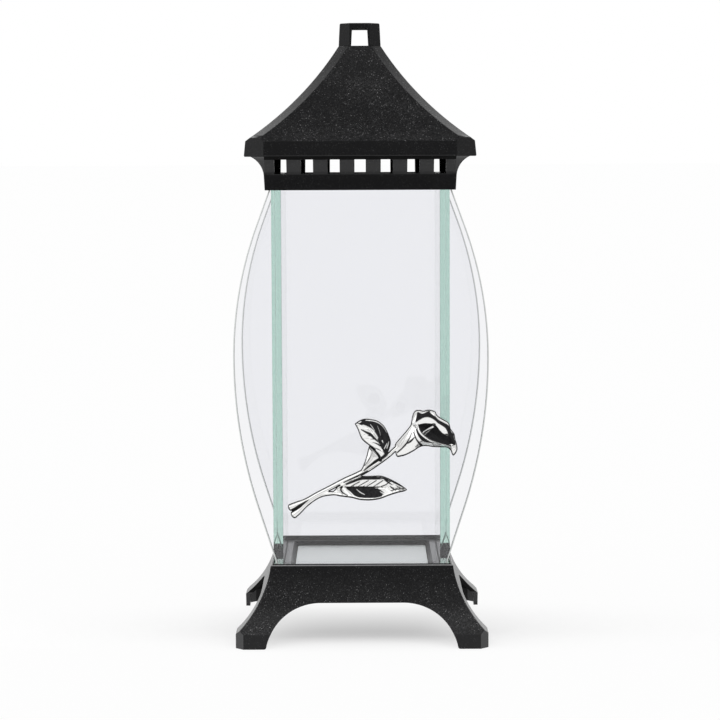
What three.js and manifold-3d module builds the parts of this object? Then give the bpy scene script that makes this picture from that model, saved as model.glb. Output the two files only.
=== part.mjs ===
// Grave lantern: a bonded glass box between a footed base and a vented roof that lifts off.
// Millimetres, +Z up. The origin is on the ground under the middle, and the front faces -Y.

import * as THREE from 'three';
import { mergeVertices, toCreasedNormals } from 'three/addons/utils/BufferGeometryUtils.js';
import Module from 'manifold-3d';

const wasm = await Module();
wasm.setup();

// Whole lantern: the height sets how tall the glass is
const lanternHeight = 316.4;
const cutOverrun = 6;
const edgeArris = 0.4;
const sealThickness = 0.4;

// Glass box, with the outline of its front and rear panes as shares of the glass height
const glassThickness = 5;
const glassHalf = 45.2;
const paneBulgeShare = 0.0985;
const paneWidestShare = 0.5405;
const upperBulgeRadiusShare = 0.973;
const upperBulgeRiseShare = 0.337;
const lowerBulgeRadiusShare = 1.244;
const lowerBulgeRiseShare = 0.3835;

// Base
const baseHeight = 40;
const baseRimWidth = 1;
const baseWall = 2.2;
const footHalf = 64;
const footBand = 7.35;
const footFacet = 4;
const footRounding = 1.2;
const flareRadius = 52.1;
const channelDepth = 3;
const ledgeDepth = 1.4;
const deckThickness = 2.5;
const archHeight = 21.5;
const archFlatHalf = 21;
const archFootHalf = 48.6;
const archCentreDrop = 2.5;

// Floor plate and its recess
const ledgeWidth = 3;
const recessDepth = 2.1;
const recessSlopeRun = 2;
const recessCorner = 1;
const plateThickness = 1.2;
const plateCornerRadius = 2;
const plateClearance = 0.2;

// Vent collar
const headSealWidth = 1.4;
const headSealGrip = 3;
const collarWall = 1.5;
const collarGrip = 6.35;
const collarBandHeight = 7.6;
const collarDraft = 0.4;
const flangeThickness = 1.4;
const coveReach = 6.6;
const coveRadius = 11.42;
const coveWall = 2.2;
const ventCount = 7;
const ventWidth = 6.1;
const ventHeight = 7.2;
const ventCornerPost = 4.95;
const lintelHeight = 1.5;

// Roof
const eavesOverhang = 3.35;
const eavesBandHeight = 7.8;
const eavesDraft = 0.75;
const roofRise = 49;
const roofRadius = 166.4;
const roofWall = 2.5;
const hipFacet = 5.2;
const shelfThickness = 2.5;
const lipWidth = 2;
const lipClearance = 0.5;

// Chimney
const chimneyHalf = 10.9;
const chimneyHeight = 11.7;
const chimneyDraft = 0.58;
const chimneyFaceHalf = 5.1;
const chimneyCapThickness = 2.7;
const chimneyWindowHalf = 4.45;
const chimneyWindowDraft = 0.5;
const spigotDepth = 3;
const spigotWall = 1.3;
const spigotClearance = 0.3;

// Calla lily casting
const emblemSpan = 86.3;
const emblemRise = 55.5;
const emblemLeft = -37.4;
const emblemAboveGlassFoot = 26.8;
const padThickness = 0.6;
const backAllowance = 1;
const leafPadRadius = 3.5;
const flowerPadRadius = 3;
const stemRadius = 1.15;
const stemEndRadius = 1.75;
const stemRelief = 1.2;
const leafEdgeRelief = 1;
const leafCrownRelief = 3.4;
const leafRibRelief = 2.3;
const sheathEdgeRelief = 1.2;
const sheathCrownRelief = 3;
const lipRelief = 8.4;
const throatRelief = 2.2;
const spadixRadius = 1.1;
const spadixRelief = 4.2;

// How finely curves are divided
const arcSteps = 14;
const coveSteps = 8;
const paneSteps = 20;
const stemSides = 8;
const stemSteps = 14;
const leafSteps = 12;
const petalSteps = 4;
const throatSteps = 4;

// Sizes that follow
const baseTopHalf = glassHalf + sealThickness + baseRimWidth;
const channelOuterHalf = glassHalf + sealThickness;
const channelInnerHalf = glassHalf - glassThickness - sealThickness;
const channelFloor = baseHeight - channelDepth;
const ledgeHeight = baseHeight - ledgeDepth;
const recessHalf = channelInnerHalf - ledgeWidth;
const plateTop = ledgeHeight - recessDepth;
const plateHalf = recessHalf - recessSlopeRun - plateClearance;
const recessFloor = plateTop - plateThickness;
const deckUnderside = recessFloor - deckThickness;
const glassFoot = channelFloor + sealThickness;
const headHeight = sealThickness + flangeThickness + ventHeight + lintelHeight + eavesBandHeight + roofRise;
const glassTop = lanternHeight - chimneyHeight - headHeight;
const glassHeight = glassTop - glassFoot;
const glassInnerHalf = glassHalf - glassThickness;
const flangeUnderside = glassTop + sealThickness;
const ventSill = flangeUnderside + flangeThickness;
const ventTop = ventSill + ventHeight;
const collarTop = ventTop + lintelHeight;
const collarFoot = glassTop - collarGrip;
const collarCavityHalf = glassHalf + headSealWidth;
const collarFootHalf = collarCavityHalf + collarWall;
const collarBandHalf = collarFootHalf + collarDraft;
const collarTopHalf = collarBandHalf + coveReach;
const eavesFaceHalf = collarBandHalf - edgeArris;
const coveInnerFaceHalf = eavesFaceHalf - (Math.SQRT2 - 1) * coveWall;
const eavesHalf = collarTopHalf + eavesOverhang;
const eavesTop = collarTop + eavesBandHeight;
const roofTop = eavesTop + roofRise;
const emblemBack = glassHalf + padThickness;
const emblemFoot = glassFoot + emblemAboveGlassFoot;

// What a corner facet's leg loses for each unit that an even wall takes off both faces beside it
const facetLoss = 2 - Math.SQRT2;
const roofHollowCorner = hipFacet - facetLoss * roofWall;

// Closed solid through a stack of rings that all have the same number of points
function loft(rings) {
  const count = rings[0].length;
  const last = (rings.length - 1) * count;
  const triangles = [];
  for (let level = 0; level < rings.length - 1; level += 1) {
    for (let i = 0; i < count; i += 1) {
      const low = level * count + i;
      const next = level * count + (i + 1) % count;
      triangles.push(low, next, next + count, low, next + count, low + count);
    }
  }
  for (let i = 1; i < count - 1; i += 1) {
    triangles.push(0, i + 1, i);
    triangles.push(last, last + i, last + i + 1);
  }
  const geometry = new THREE.BufferGeometry();
  geometry.setFromPoints(rings.flat());
  geometry.setIndex(triangles);
  return geometry;
}

// Solid for cutting and joining; a loft whose rings run the other way round is turned outside out
function solid(geometry) {
  const bare = geometry.clone();
  bare.deleteAttribute('normal');
  bare.deleteAttribute('uv');
  const merged = mergeVertices(bare);
  const vertProperties = Float32Array.from(merged.attributes.position.array);
  const triVerts = Uint32Array.from(merged.index.array);
  if (signedVolume(vertProperties, triVerts) < 0) {
    triVerts.reverse();
  }
  return new wasm.Manifold(new wasm.Mesh({ numProp: 3, vertProperties, triVerts }));
}

function signedVolume(coordinates, triangles) {
  const corners = [new THREE.Vector3(), new THREE.Vector3(), new THREE.Vector3()];
  let sum = 0;
  for (let i = 0; i < triangles.length; i += 3) {
    corners.forEach((corner, k) => corner.fromArray(coordinates, triangles[i + k] * 3));
    sum += corners[0].dot(corners[1].cross(corners[2]));
  }
  return sum;
}

function geometryOf(body) {
  const mesh = body.getMesh();
  const geometry = new THREE.BufferGeometry();
  geometry.setAttribute('position', new THREE.BufferAttribute(mesh.vertProperties, mesh.numProp));
  geometry.setIndex(new THREE.BufferAttribute(mesh.triVerts, 1));
  return geometry;
}

// Box between two heights, centred on the axis
function block(halfX, halfY, low, high) {
  const geometry = new THREE.BoxGeometry(2 * halfX, 2 * halfY, high - low);
  return geometry.translate(0, 0, (low + high) / 2);
}

// Square with flattened corners at one height
function cornerRing(height, half, corner) {
  const short = half - corner;
  const quarter = [[half, -short], [half, short]];
  const ring = [];
  for (let turn = 0; turn < 4; turn += 1) {
    const cos = Math.round(Math.cos(turn * Math.PI / 2));
    const sin = Math.round(Math.sin(turn * Math.PI / 2));
    quarter.forEach(([x, y]) => ring.push(new THREE.Vector3(x * cos - y * sin, x * sin + y * cos, height)));
  }
  return ring;
}

// Four-sided solid whose outline follows a profile of (half width, height) points
function cornerLoft(profile, cornerOf) {
  return loft(profile.map((point) => cornerRing(point.y, point.x, cornerOf(point.x, point.y))));
}

// Arc between two profile points; side is 1 where its centre lies left of the way, -1 where it lies right
function arc(start, end, radius, side, steps) {
  const chord = end.clone().sub(start);
  const reach = Math.sqrt(radius ** 2 - chord.lengthSq() / 4);
  const across = new THREE.Vector2(-chord.y, chord.x).normalize();
  const centre = start.clone().lerp(end, 0.5).addScaledVector(across, side * reach);
  const half = Math.asin(chord.length() / (2 * radius));
  return Array.from({ length: steps + 1 }, (unused, i) => {
    const turn = side * 2 * half * i / steps;
    return start.clone().rotateAround(centre, turn);
  });
}

// Profile moved inwards by a wall, square to its own line
function inset(profile, wall) {
  return profile.map((point, i) => {
    const before = profile[Math.max(i - 1, 0)];
    const after = profile[Math.min(i + 1, profile.length - 1)];
    const along = after.clone().sub(before).normalize();
    return point.clone().addScaledVector(new THREE.Vector2(-along.y, along.x), wall);
  });
}

// Half width of a profile at a height
function halfAt(profile, height) {
  const i = profile.findIndex((point, k) => k > 0 && point.y >= height);
  const low = profile[i - 1];
  const high = profile[i];
  return THREE.MathUtils.mapLinear(height, low.y, high.y, low.x, high.x);
}

// Tube of changing radius along points, with flat ends
function taperedTube(points, radii, sides, steps) {
  const path = new THREE.CatmullRomCurve3(points);
  const frames = path.computeFrenetFrames(steps);
  const radiusAt = (share) => {
    const place = share * (radii.length - 1);
    const i = Math.min(Math.floor(place), radii.length - 2);
    return THREE.MathUtils.lerp(radii[i], radii[i + 1], place - i);
  };
  return loft(Array.from({ length: steps + 1 }, (unused, i) => {
    const centre = path.getPointAt(i / steps);
    return Array.from({ length: sides }, (none, k) => {
      const turn = 2 * Math.PI * k / sides;
      const radius = radiusAt(i / steps);
      return centre.clone()
        .addScaledVector(frames.normals[i], radius * Math.cos(turn))
        .addScaledVector(frames.binormals[i], radius * Math.sin(turn));
    });
  }));
}

// Base: skirt with arched sides, foot facets, a glass channel and a recess for the floor plate
function makeBase() {
  const foot = new THREE.Vector2(footHalf, footBand);
  const shoulder = new THREE.Vector2(baseTopHalf, baseHeight - edgeArris);
  const outline = [
    new THREE.Vector2(footHalf, 0),
    ...arc(foot, shoulder, flareRadius, -1, arcSteps),
    new THREE.Vector2(baseTopHalf - edgeArris, baseHeight),
  ];
  const hollow = inset(outline, baseWall);
  hollow[0].y = -cutOverrun;
  let skirt = solid(cornerLoft(outline, () => edgeArris)).intersect(footTrim(0));
  const underside = solid(cornerLoft(hollow, () => edgeArris)).intersect(footTrim(baseWall))
    .intersect(solid(block(footHalf, footHalf, -cutOverrun, deckUnderside)));
  skirt = skirt.subtract(underside);
  const arch = archCut();
  skirt = skirt.subtract(solid(arch)).subtract(solid(arch.clone().rotateZ(Math.PI / 2)));

  const above = baseHeight + cutOverrun;
  const well = solid(block(channelOuterHalf, channelOuterHalf, ledgeHeight, above));
  const island = block(channelInnerHalf, channelInnerHalf, channelFloor - cutOverrun, above + cutOverrun);
  const channel = solid(block(channelOuterHalf, channelOuterHalf, channelFloor, above))
    .subtract(solid(island));
  const recess = solid(cornerLoft([
    new THREE.Vector2(recessHalf - recessSlopeRun, recessFloor),
    new THREE.Vector2(recessHalf - recessSlopeRun, plateTop),
    new THREE.Vector2(recessHalf, ledgeHeight),
    new THREE.Vector2(recessHalf, above),
  ], () => recessCorner));
  return geometryOf(skirt.subtract(well).subtract(channel).subtract(recess));
}

// Upright prism whose corner faces cut the feet back, moved inwards by a wall
function footTrim(wall) {
  const half = footHalf + cutOverrun;
  const corner = 2 * half - (2 * footHalf - footFacet) + wall * Math.SQRT2;
  const ends = [-cutOverrun, baseHeight + cutOverrun];
  return solid(loft(ends.map((height) => cornerRing(height, half, corner))));
}

// Arch through both opposite sides: a flat crown between two quarter ellipses, with eased feet
function archCut() {
  const rise = archHeight + archCentreDrop;
  const reach = (archFootHalf - archFlatHalf) / Math.sqrt(1 - (archCentreDrop / rise) ** 2);
  const start = Math.asin((archCentreDrop + footRounding) / rise);
  const startHalf = archFlatHalf + reach * Math.cos(start);
  const outer = archFootHalf + footRounding;
  const shape = new THREE.Shape();
  shape.moveTo(-outer, -cutOverrun);
  shape.lineTo(outer, -cutOverrun);
  shape.lineTo(outer, 0);
  shape.quadraticCurveTo(archFootHalf, 0, startHalf, footRounding);
  shape.absellipse(archFlatHalf, -archCentreDrop, reach, rise, start, Math.PI / 2, false);
  shape.absellipse(-archFlatHalf, -archCentreDrop, reach, rise, Math.PI / 2, Math.PI - start, false);
  shape.quadraticCurveTo(-archFootHalf, 0, -outer, 0);
  const depth = 2 * (footHalf + cutOverrun);
  const geometry = new THREE.ExtrudeGeometry(shape, { depth, bevelEnabled: false, curveSegments: arcSteps });
  return geometry.translate(0, 0, -depth / 2).rotateX(Math.PI / 2);
}

// Floor plate: a sheet with rounded corners
function makeFloorPlate() {
  const side = plateHalf - plateCornerRadius;
  const shape = new THREE.Shape();
  shape.absarc(side, side, plateCornerRadius, 0, Math.PI / 2, false);
  shape.absarc(-side, side, plateCornerRadius, Math.PI / 2, Math.PI, false);
  shape.absarc(-side, -side, plateCornerRadius, Math.PI, 3 * Math.PI / 2, false);
  shape.absarc(side, -side, plateCornerRadius, 3 * Math.PI / 2, 2 * Math.PI, false);
  const options = { depth: plateThickness, bevelEnabled: false, curveSegments: coveSteps };
  return new THREE.ExtrudeGeometry(shape, options);
}

// Front or rear pane: straight ends and side edges that bulge in two tangent arcs
function makeBulgedPane() {
  const widest = glassFoot + paneWidestShare * glassHeight;
  const paneHalf = glassHalf + paneBulgeShare * glassHeight;
  const upperRadius = upperBulgeRadiusShare * glassHeight;
  const lowerRadius = lowerBulgeRadiusShare * glassHeight;
  const upperTurn = Math.asin(upperBulgeRiseShare / upperBulgeRadiusShare);
  const lowerTurn = Math.asin(lowerBulgeRiseShare / lowerBulgeRadiusShare);
  const upperEnd = widest + upperBulgeRiseShare * glassHeight;
  const lowerEnd = widest - lowerBulgeRiseShare * glassHeight;
  const upperSagitta = upperRadius * (1 - Math.cos(upperTurn));
  const lowerSagitta = lowerRadius * (1 - Math.cos(lowerTurn));
  const topHalf = paneHalf - upperSagitta - (glassTop - upperEnd) * Math.tan(upperTurn);
  const bottomHalf = paneHalf - lowerSagitta - (lowerEnd - glassFoot) * Math.tan(lowerTurn);
  const upperCentre = paneHalf - upperRadius;
  const lowerCentre = paneHalf - lowerRadius;
  const shape = new THREE.Shape();
  shape.moveTo(-bottomHalf, glassFoot);
  shape.lineTo(bottomHalf, glassFoot);
  shape.absarc(lowerCentre, widest, lowerRadius, -lowerTurn, 0, false);
  shape.absarc(upperCentre, widest, upperRadius, 0, upperTurn, false);
  shape.lineTo(topHalf, glassTop);
  shape.lineTo(-topHalf, glassTop);
  shape.absarc(-upperCentre, widest, upperRadius, Math.PI - upperTurn, Math.PI, false);
  shape.absarc(-lowerCentre, widest, lowerRadius, Math.PI, Math.PI + lowerTurn, false);
  const options = { depth: glassThickness, bevelEnabled: false, curveSegments: paneSteps };
  return new THREE.ExtrudeGeometry(shape, options).rotateX(Math.PI / 2);
}

function makeSidePane() {
  return new THREE.BoxGeometry(glassThickness, 2 * glassInnerHalf, glassHeight);
}

// Square ring with a slot that the ends of the four panes stand in
function glassSlotRing(outerHalf, low, high, slotLow, slotHigh) {
  const ring = solid(block(outerHalf, outerHalf, low, high))
    .subtract(solid(block(channelInnerHalf, channelInnerHalf, low - cutOverrun, high + cutOverrun)));
  const slot = solid(block(glassHalf, glassHalf, slotLow, slotHigh))
    .subtract(solid(block(glassInnerHalf, glassInnerHalf, slotLow - cutOverrun, slotHigh + cutOverrun)));
  return geometryOf(ring.subtract(slot));
}

// Vent collar: plain band over the glass, flange on its top edges, and the pierced cove above
function makeVentCollar() {
  const foot = new THREE.Vector2(collarFootHalf, collarFoot);
  const band = new THREE.Vector2(collarBandHalf, collarFoot + collarBandHeight);
  const crown = new THREE.Vector2(collarTopHalf, collarTop);
  const cove = arc(band, crown, coveRadius, -1, coveSteps);
  const outside = (half) => Math.max(edgeArris, half - eavesFaceHalf);
  const inside = (half) => Math.max(edgeArris, half - coveInnerFaceHalf);
  let collar = solid(cornerLoft([foot, ...cove], outside));

  const chamber = solid(cornerLoft(inset(cove, coveWall), inside))
    .intersect(solid(block(collarTopHalf, collarTopHalf, ventSill, collarTop + cutOverrun)));
  const glassCavity = block(collarCavityHalf, collarCavityHalf, collarFoot - cutOverrun, flangeUnderside);
  const mouth = block(channelInnerHalf, channelInnerHalf, collarFoot, ventSill + cutOverrun);
  collar = collar.subtract(chamber).subtract(solid(glassCavity)).subtract(solid(mouth));

  const pitch = 2 * (eavesFaceHalf - ventCornerPost - ventWidth / 2) / (ventCount - 1);
  const reach = collarTopHalf + cutOverrun;
  for (let i = 0; i < ventCount; i += 1) {
    const place = (i - (ventCount - 1) / 2) * pitch;
    const across = block(ventWidth / 2, reach, ventSill, ventTop).translate(place, 0, 0);
    const along = across.clone().rotateZ(Math.PI / 2);
    collar = collar.subtract(solid(across)).subtract(solid(along));
  }
  return geometryOf(collar);
}

// Half width of the collar's chamber at a height
function chamberHalf(height) {
  const band = new THREE.Vector2(collarBandHalf, collarFoot + collarBandHeight);
  const crown = new THREE.Vector2(collarTopHalf, collarTop);
  return halfAt(inset(arc(band, crown, coveRadius, -1, coveSteps), coveWall), height);
}

// Outer line of the roof from the top of the eaves band to the chimney
function roofSlope() {
  const foot = new THREE.Vector2(eavesHalf - eavesDraft, eavesTop);
  const head = new THREE.Vector2(chimneyHalf, roofTop);
  return arc(foot, head, roofRadius, -1, arcSteps);
}

// Inner line of the roof, carried on through its top
function roofHollow() {
  const line = inset(roofSlope(), roofWall);
  const onward = line.at(-1).clone().sub(line.at(-2)).setLength(cutOverrun);
  return [...line, line.at(-1).clone().add(onward)];
}

// Roof: concave shell with flattened hips, eaves band, resting shelf and a lip that centres it
function makeRoof() {
  const outline = [
    new THREE.Vector2(eavesHalf - edgeArris, collarTop),
    new THREE.Vector2(eavesHalf, collarTop + edgeArris),
    ...roofSlope(),
  ];
  const shell = solid(cornerLoft(outline, () => hipFacet)).intersect(eavesTrim(0));

  const shelfTop = collarTop + shelfThickness;
  const underSlope = roofHollow();
  const hollow = solid(cornerLoft([
    new THREE.Vector2(underSlope[0].x, shelfTop),
    ...underSlope,
  ], () => roofHollowCorner)).intersect(eavesTrim(roofWall));

  const lipHalf = chamberHalf(ventTop) - lipClearance;
  const lipCorner = lipHalf - coveInnerFaceHalf + lipClearance;
  const lip = solid(loft([ventTop, collarTop + edgeArris]
    .map((height) => cornerRing(height, lipHalf, Math.max(edgeArris, lipCorner)))));
  const mouthHalf = lipHalf - lipWidth;
  const mouth = solid(block(mouthHalf, mouthHalf, ventTop - cutOverrun, shelfTop + edgeArris));
  return geometryOf(shell.add(lip).subtract(hollow).subtract(mouth));
}

// Tapered prism that gives the eaves their wide corner facets, moved inwards by a wall
function eavesTrim(wall) {
  return solid(loft([collarTop - cutOverrun, roofTop + cutOverrun].map((height) => {
    const draft = eavesDraft * (height - collarTop) / eavesBandHeight;
    const half = eavesHalf + cutOverrun;
    const corner = 2 * half - (eavesHalf - draft + eavesFaceHalf) + wall * Math.SQRT2;
    return cornerRing(height, half, corner);
  })));
}

// Chimney: eight-sided cap on four corner posts, with a spigot in the roof's top opening
function makeChimney() {
  const top = roofTop + chimneyHeight;
  const topHalf = chimneyHalf - chimneyDraft;
  const cap = solid(cornerLoft([
    new THREE.Vector2(chimneyHalf, roofTop),
    new THREE.Vector2(topHalf, top - edgeArris),
    new THREE.Vector2(topHalf - edgeArris, top),
  ], (half) => half - chimneyFaceHalf));

  const ceiling = top - chimneyCapThickness;
  const spigotHalf = halfAt(roofHollow(), roofTop) - spigotClearance;
  const spigotCorner = roofHollowCorner - facetLoss * spigotClearance;
  const boreHalf = spigotHalf - spigotWall;
  const boreCorner = spigotCorner - facetLoss * spigotWall;
  const prism = (half, corner, low, high) => (
    solid(loft([low, high].map((height) => cornerRing(height, half, corner))))
  );
  const spigot = prism(spigotHalf, spigotCorner, roofTop - spigotDepth, roofTop + edgeArris);
  const bore = prism(boreHalf, boreCorner, roofTop - spigotDepth - cutOverrun, ceiling);
  const reach = chimneyHalf + cutOverrun;
  const window = loft([
    windowRing(roofTop, chimneyWindowHalf, reach),
    windowRing(ceiling, chimneyWindowHalf - chimneyWindowDraft, reach),
  ]);
  return geometryOf(cap.add(spigot).subtract(bore)
    .subtract(solid(window))
    .subtract(solid(window.clone().rotateZ(Math.PI / 2))));
}

// Rectangle at one height, for a window that narrows as it rises
function windowRing(height, half, reach) {
  return [[half, -reach], [half, reach], [-half, reach], [-half, -reach]]
    .map(([x, y]) => new THREE.Vector3(x, y, height));
}

// Places on the casting, as shares of its span and rise from its lower left corner
const mainStemShares = [
  [0.006, 0.097], [0.12, 0.185], [0.25, 0.285], [0.36, 0.36], [0.47, 0.418], [0.543, 0.482],
  [0.592, 0.541], [0.64, 0.6],
];
const sideStemShares = [[0.032, 0.024], [0.11, 0.135], [0.19, 0.2], [0.28, 0.25], [0.35, 0.284]];
const lowerLeafUpperEdgeShares = [
  [0.26, 0.25], [0.314, 0.306], [0.405, 0.362], [0.472, 0.383], [0.543, 0.386], [0.607, 0.362],
  [0.661, 0.324], [0.705, 0.274],
];
const lowerLeafLowerEdgeShares = [
  [0.262, 0.216], [0.336, 0.196], [0.404, 0.172], [0.472, 0.164], [0.551, 0.183], [0.625, 0.215],
  [0.691, 0.249], [0.705, 0.264],
];
const lowerLeafRibShares = [
  [0.261, 0.235], [0.34, 0.285], [0.44, 0.284], [0.54, 0.284], [0.63, 0.287], [0.705, 0.269],
];
const upperLeafOuterEdgeShares = [
  [0.588, 0.57], [0.596, 0.636], [0.605, 0.705], [0.578, 0.82], [0.544, 0.871], [0.496, 0.902],
  [0.451, 0.909], [0.393, 0.874],
];
const upperLeafInnerEdgeShares = [
  [0.562, 0.556], [0.522, 0.602], [0.482, 0.665], [0.433, 0.729], [0.419, 0.793], [0.391, 0.866],
];
const upperLeafRibShares = [[0.575, 0.563], [0.568, 0.642], [0.518, 0.721], [0.462, 0.826], [0.392, 0.87]];
const sheathOuterEdgeShares = [[0.33, 0.36], [0.423, 0.433], [0.447, 0.48], [0.468, 0.553], [0.482, 0.655]];
const sheathInnerEdgeShares = [[0.33, 0.325], [0.43, 0.395], [0.49, 0.493], [0.53, 0.55], [0.53, 0.61]];
const sheathRibShares = [[0.33, 0.342], [0.426, 0.413], [0.468, 0.487], [0.499, 0.552], [0.506, 0.632]];

// Flower, once round from the middle of its neck: across, up, and height as a share of the lip's relief
const flowerOutlineShares = [
  [0.629, 0.616, 0.4], [0.632, 0.661, 0.14], [0.662, 0.733, 0.14], [0.715, 0.829, 0.18],
  [0.732, 0.886, 0.24], [0.737, 0.941, 0.31], [0.76, 0.991, 0.36], [0.803, 0.986, 0.31],
  [0.834, 1, 0.36], [0.869, 0.98, 0.31], [0.892, 0.933, 0.33], [0.942, 0.886, 0.29],
  [0.978, 0.793, 0.31], [0.999, 0.674, 0.29], [0.997, 0.62, 0.26], [0.978, 0.578, 0.24],
  [0.955, 0.625, 0.19], [0.927, 0.654, 0.17], [0.864, 0.656, 0.14], [0.808, 0.656, 0.14],
  [0.776, 0.641, 0.14], [0.746, 0.611, 0.14], [0.695, 0.577, 0.14], [0.637, 0.571, 0.14],
];
const throatRimShares = [
  [0.757, 0.764, 0.98], [0.749, 0.8, 0.98], [0.743, 0.829, 0.95], [0.742, 0.854, 0.9],
  [0.756, 0.867, 0.81], [0.776, 0.876, 0.71], [0.8, 0.883, 0.64], [0.823, 0.879, 0.6],
  [0.844, 0.868, 0.56], [0.862, 0.852, 0.54], [0.878, 0.834, 0.52], [0.902, 0.805, 0.52],
  [0.927, 0.771, 0.52], [0.944, 0.721, 0.55], [0.948, 0.688, 0.57], [0.939, 0.679, 0.6],
  [0.927, 0.681, 0.67], [0.899, 0.69, 0.74], [0.855, 0.694, 0.88], [0.809, 0.706, 0.98],
  [0.786, 0.721, 1], [0.772, 0.735, 1], [0.764, 0.75, 0.99], [0.759, 0.757, 0.99],
];
const throatShare = [0.834, 0.782];
const throatFloorShare = 0.85;
const spadixShares = [[0.8, 0.785, 0.6], [0.828, 0.812, 1], [0.857, 0.846, 1.2]];
const lowerLeafPadShare = [0.48, 0.27];
const upperLeafPadShare = [0.52, 0.77];
const flowerPadShare = [0.7, 0.68];

// Point on the casting, with its height above the casting's flat back
function emblemPoint([across, up], relief) {
  return new THREE.Vector3(
    emblemLeft + across * emblemSpan,
    -emblemBack - relief,
    emblemFoot + up * emblemRise,
  );
}

// Line on the casting, sunk behind its flat back so that the back is cut clean through it
function emblemCurve(shares) {
  return new THREE.CatmullRomCurve3(shares.map((share) => emblemPoint(share, -backAllowance)));
}

// Leaf between two edges, crowned on each side of a sunk rib
function leafBlade(firstEdge, secondEdge, rib, edgeRelief, crownRelief, ribRelief) {
  const curves = [firstEdge, secondEdge, rib].map(emblemCurve);
  return loft(Array.from({ length: leafSteps + 1 }, (unused, i) => {
    const [first, second, middle] = curves.map((curve) => curve.getPointAt(i / leafSteps));
    const raised = (point, relief) => new THREE.Vector3(point.x, -emblemBack - relief, point.z);
    const firstCrown = first.clone().lerp(middle, 0.5);
    const secondCrown = second.clone().lerp(middle, 0.5);
    return [
      first,
      raised(first, edgeRelief),
      raised(firstCrown, crownRelief),
      raised(middle, ribRelief),
      raised(secondCrown, crownRelief),
      raised(second, edgeRelief),
      second,
      middle,
    ];
  }));
}

// Flower: its surface climbs from the outline to the rim of the throat and falls to the throat's floor
function flowerBody() {
  const pointOf = ([across, up, share]) => emblemPoint([across, up], share * lipRelief);
  const outline = flowerOutlineShares.map(pointOf);
  const rim = throatRimShares.map(pointOf);
  const throat = emblemPoint(throatShare, throatRelief);
  const between = (start, end, share, climb) => {
    const point = start.clone().lerp(end, share);
    point.y = THREE.MathUtils.lerp(start.y, end.y, climb);
    return point;
  };
  const rings = [outline.map((point) => new THREE.Vector3(point.x, backAllowance - emblemBack, point.z))];
  for (let i = 0; i <= petalSteps; i += 1) {
    const share = i / petalSteps;
    rings.push(outline.map((point, k) => between(point, rim[k], share, Math.sin(share * Math.PI / 2))));
  }
  for (let i = 1; i <= throatSteps; i += 1) {
    const share = i / throatSteps;
    rings.push(rim.map((point) => between(point, throat, share * throatFloorShare, 1 - (1 - share) ** 2)));
  }
  return loft(rings);
}

// Calla lily casting: stems, sheath, two leaves, flower and spadix in one piece with a flat back
function makeCalla() {
  const stem = (shares, radii) => solid(taperedTube(
    shares.map((share) => emblemPoint(share, stemRelief)),
    radii,
    stemSides,
    stemSteps,
  ));
  const spadix = spadixShares.map(([across, up, share]) => emblemPoint([across, up], share * spadixRelief));
  const parts = [
    stem(mainStemShares, [stemEndRadius, stemRadius, stemRadius, stemRadius, stemRadius]),
    stem(sideStemShares, [stemEndRadius, stemRadius, stemRadius]),
    solid(leafBlade(lowerLeafUpperEdgeShares, lowerLeafLowerEdgeShares, lowerLeafRibShares,
      leafEdgeRelief, leafCrownRelief, leafRibRelief)),
    solid(leafBlade(upperLeafOuterEdgeShares, upperLeafInnerEdgeShares, upperLeafRibShares,
      leafEdgeRelief, leafCrownRelief, leafRibRelief)),
    solid(leafBlade(sheathOuterEdgeShares, sheathInnerEdgeShares, sheathRibShares,
      sheathEdgeRelief, sheathCrownRelief, sheathCrownRelief)),
    solid(flowerBody()),
    solid(taperedTube(spadix, [spadixRadius, spadixRadius, spadixRadius / 2], stemSides, stemSteps)),
  ];
  const casting = parts.reduce((whole, part) => whole.add(part));
  const depth = lipRelief + cutOverrun;
  const front = new THREE.BoxGeometry(2 * emblemSpan, depth, 2 * emblemRise);
  front.translate(emblemLeft + emblemSpan / 2, -emblemBack - depth / 2, emblemFoot + emblemRise / 2);
  return geometryOf(casting.intersect(solid(front)));
}

// Adhesive pad between the casting and the pane
function makePad(share, radius) {
  const place = emblemPoint(share, 0);
  const pad = new THREE.CylinderGeometry(radius, radius, padThickness, 2 * stemSides);
  return pad.translate(place.x, -glassHalf - padThickness / 2, place.z);
}

function blackCoat() {
  return new THREE.MeshStandardMaterial({ color: 0x1d1d1f, roughness: 0.5, metalness: 0.2 });
}

function clearGlass() {
  return new THREE.MeshStandardMaterial({
    color: 0xd8ece4, roughness: 0.02, metalness: 0, transparent: true, opacity: 0.3,
  });
}

function blackSeal() {
  return new THREE.MeshStandardMaterial({ color: 0x111112, roughness: 0.7, metalness: 0 });
}

function satinMetal() {
  return new THREE.MeshStandardMaterial({ color: 0xccd0ce, roughness: 0.35, metalness: 0.9 });
}

function polishedSilver() {
  return new THREE.MeshStandardMaterial({ color: 0xd9d9d6, roughness: 0.15, metalness: 1 });
}

function paleAdhesive() {
  return new THREE.MeshStandardMaterial({ color: 0xe6e6e2, roughness: 0.8, metalness: 0 });
}

const lantern = new THREE.Group();
const roofLid = new THREE.Group();
lantern.add(roofLid);

const creaseAngle = Math.PI / 6;

function place(parent, name, geometry, material) {
  const mesh = new THREE.Mesh(toCreasedNormals(geometry, creaseAngle), material);
  mesh.name = name;
  parent.add(mesh);
  return mesh;
}

place(lantern, 'base', makeBase(), blackCoat());
place(lantern, 'floor_plate', makeFloorPlate(), satinMetal()).position.z = recessFloor;
place(lantern, 'glass_foot_seal', glassSlotRing(
  channelOuterHalf, channelFloor, ledgeHeight, glassFoot, baseHeight), blackSeal());

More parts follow.
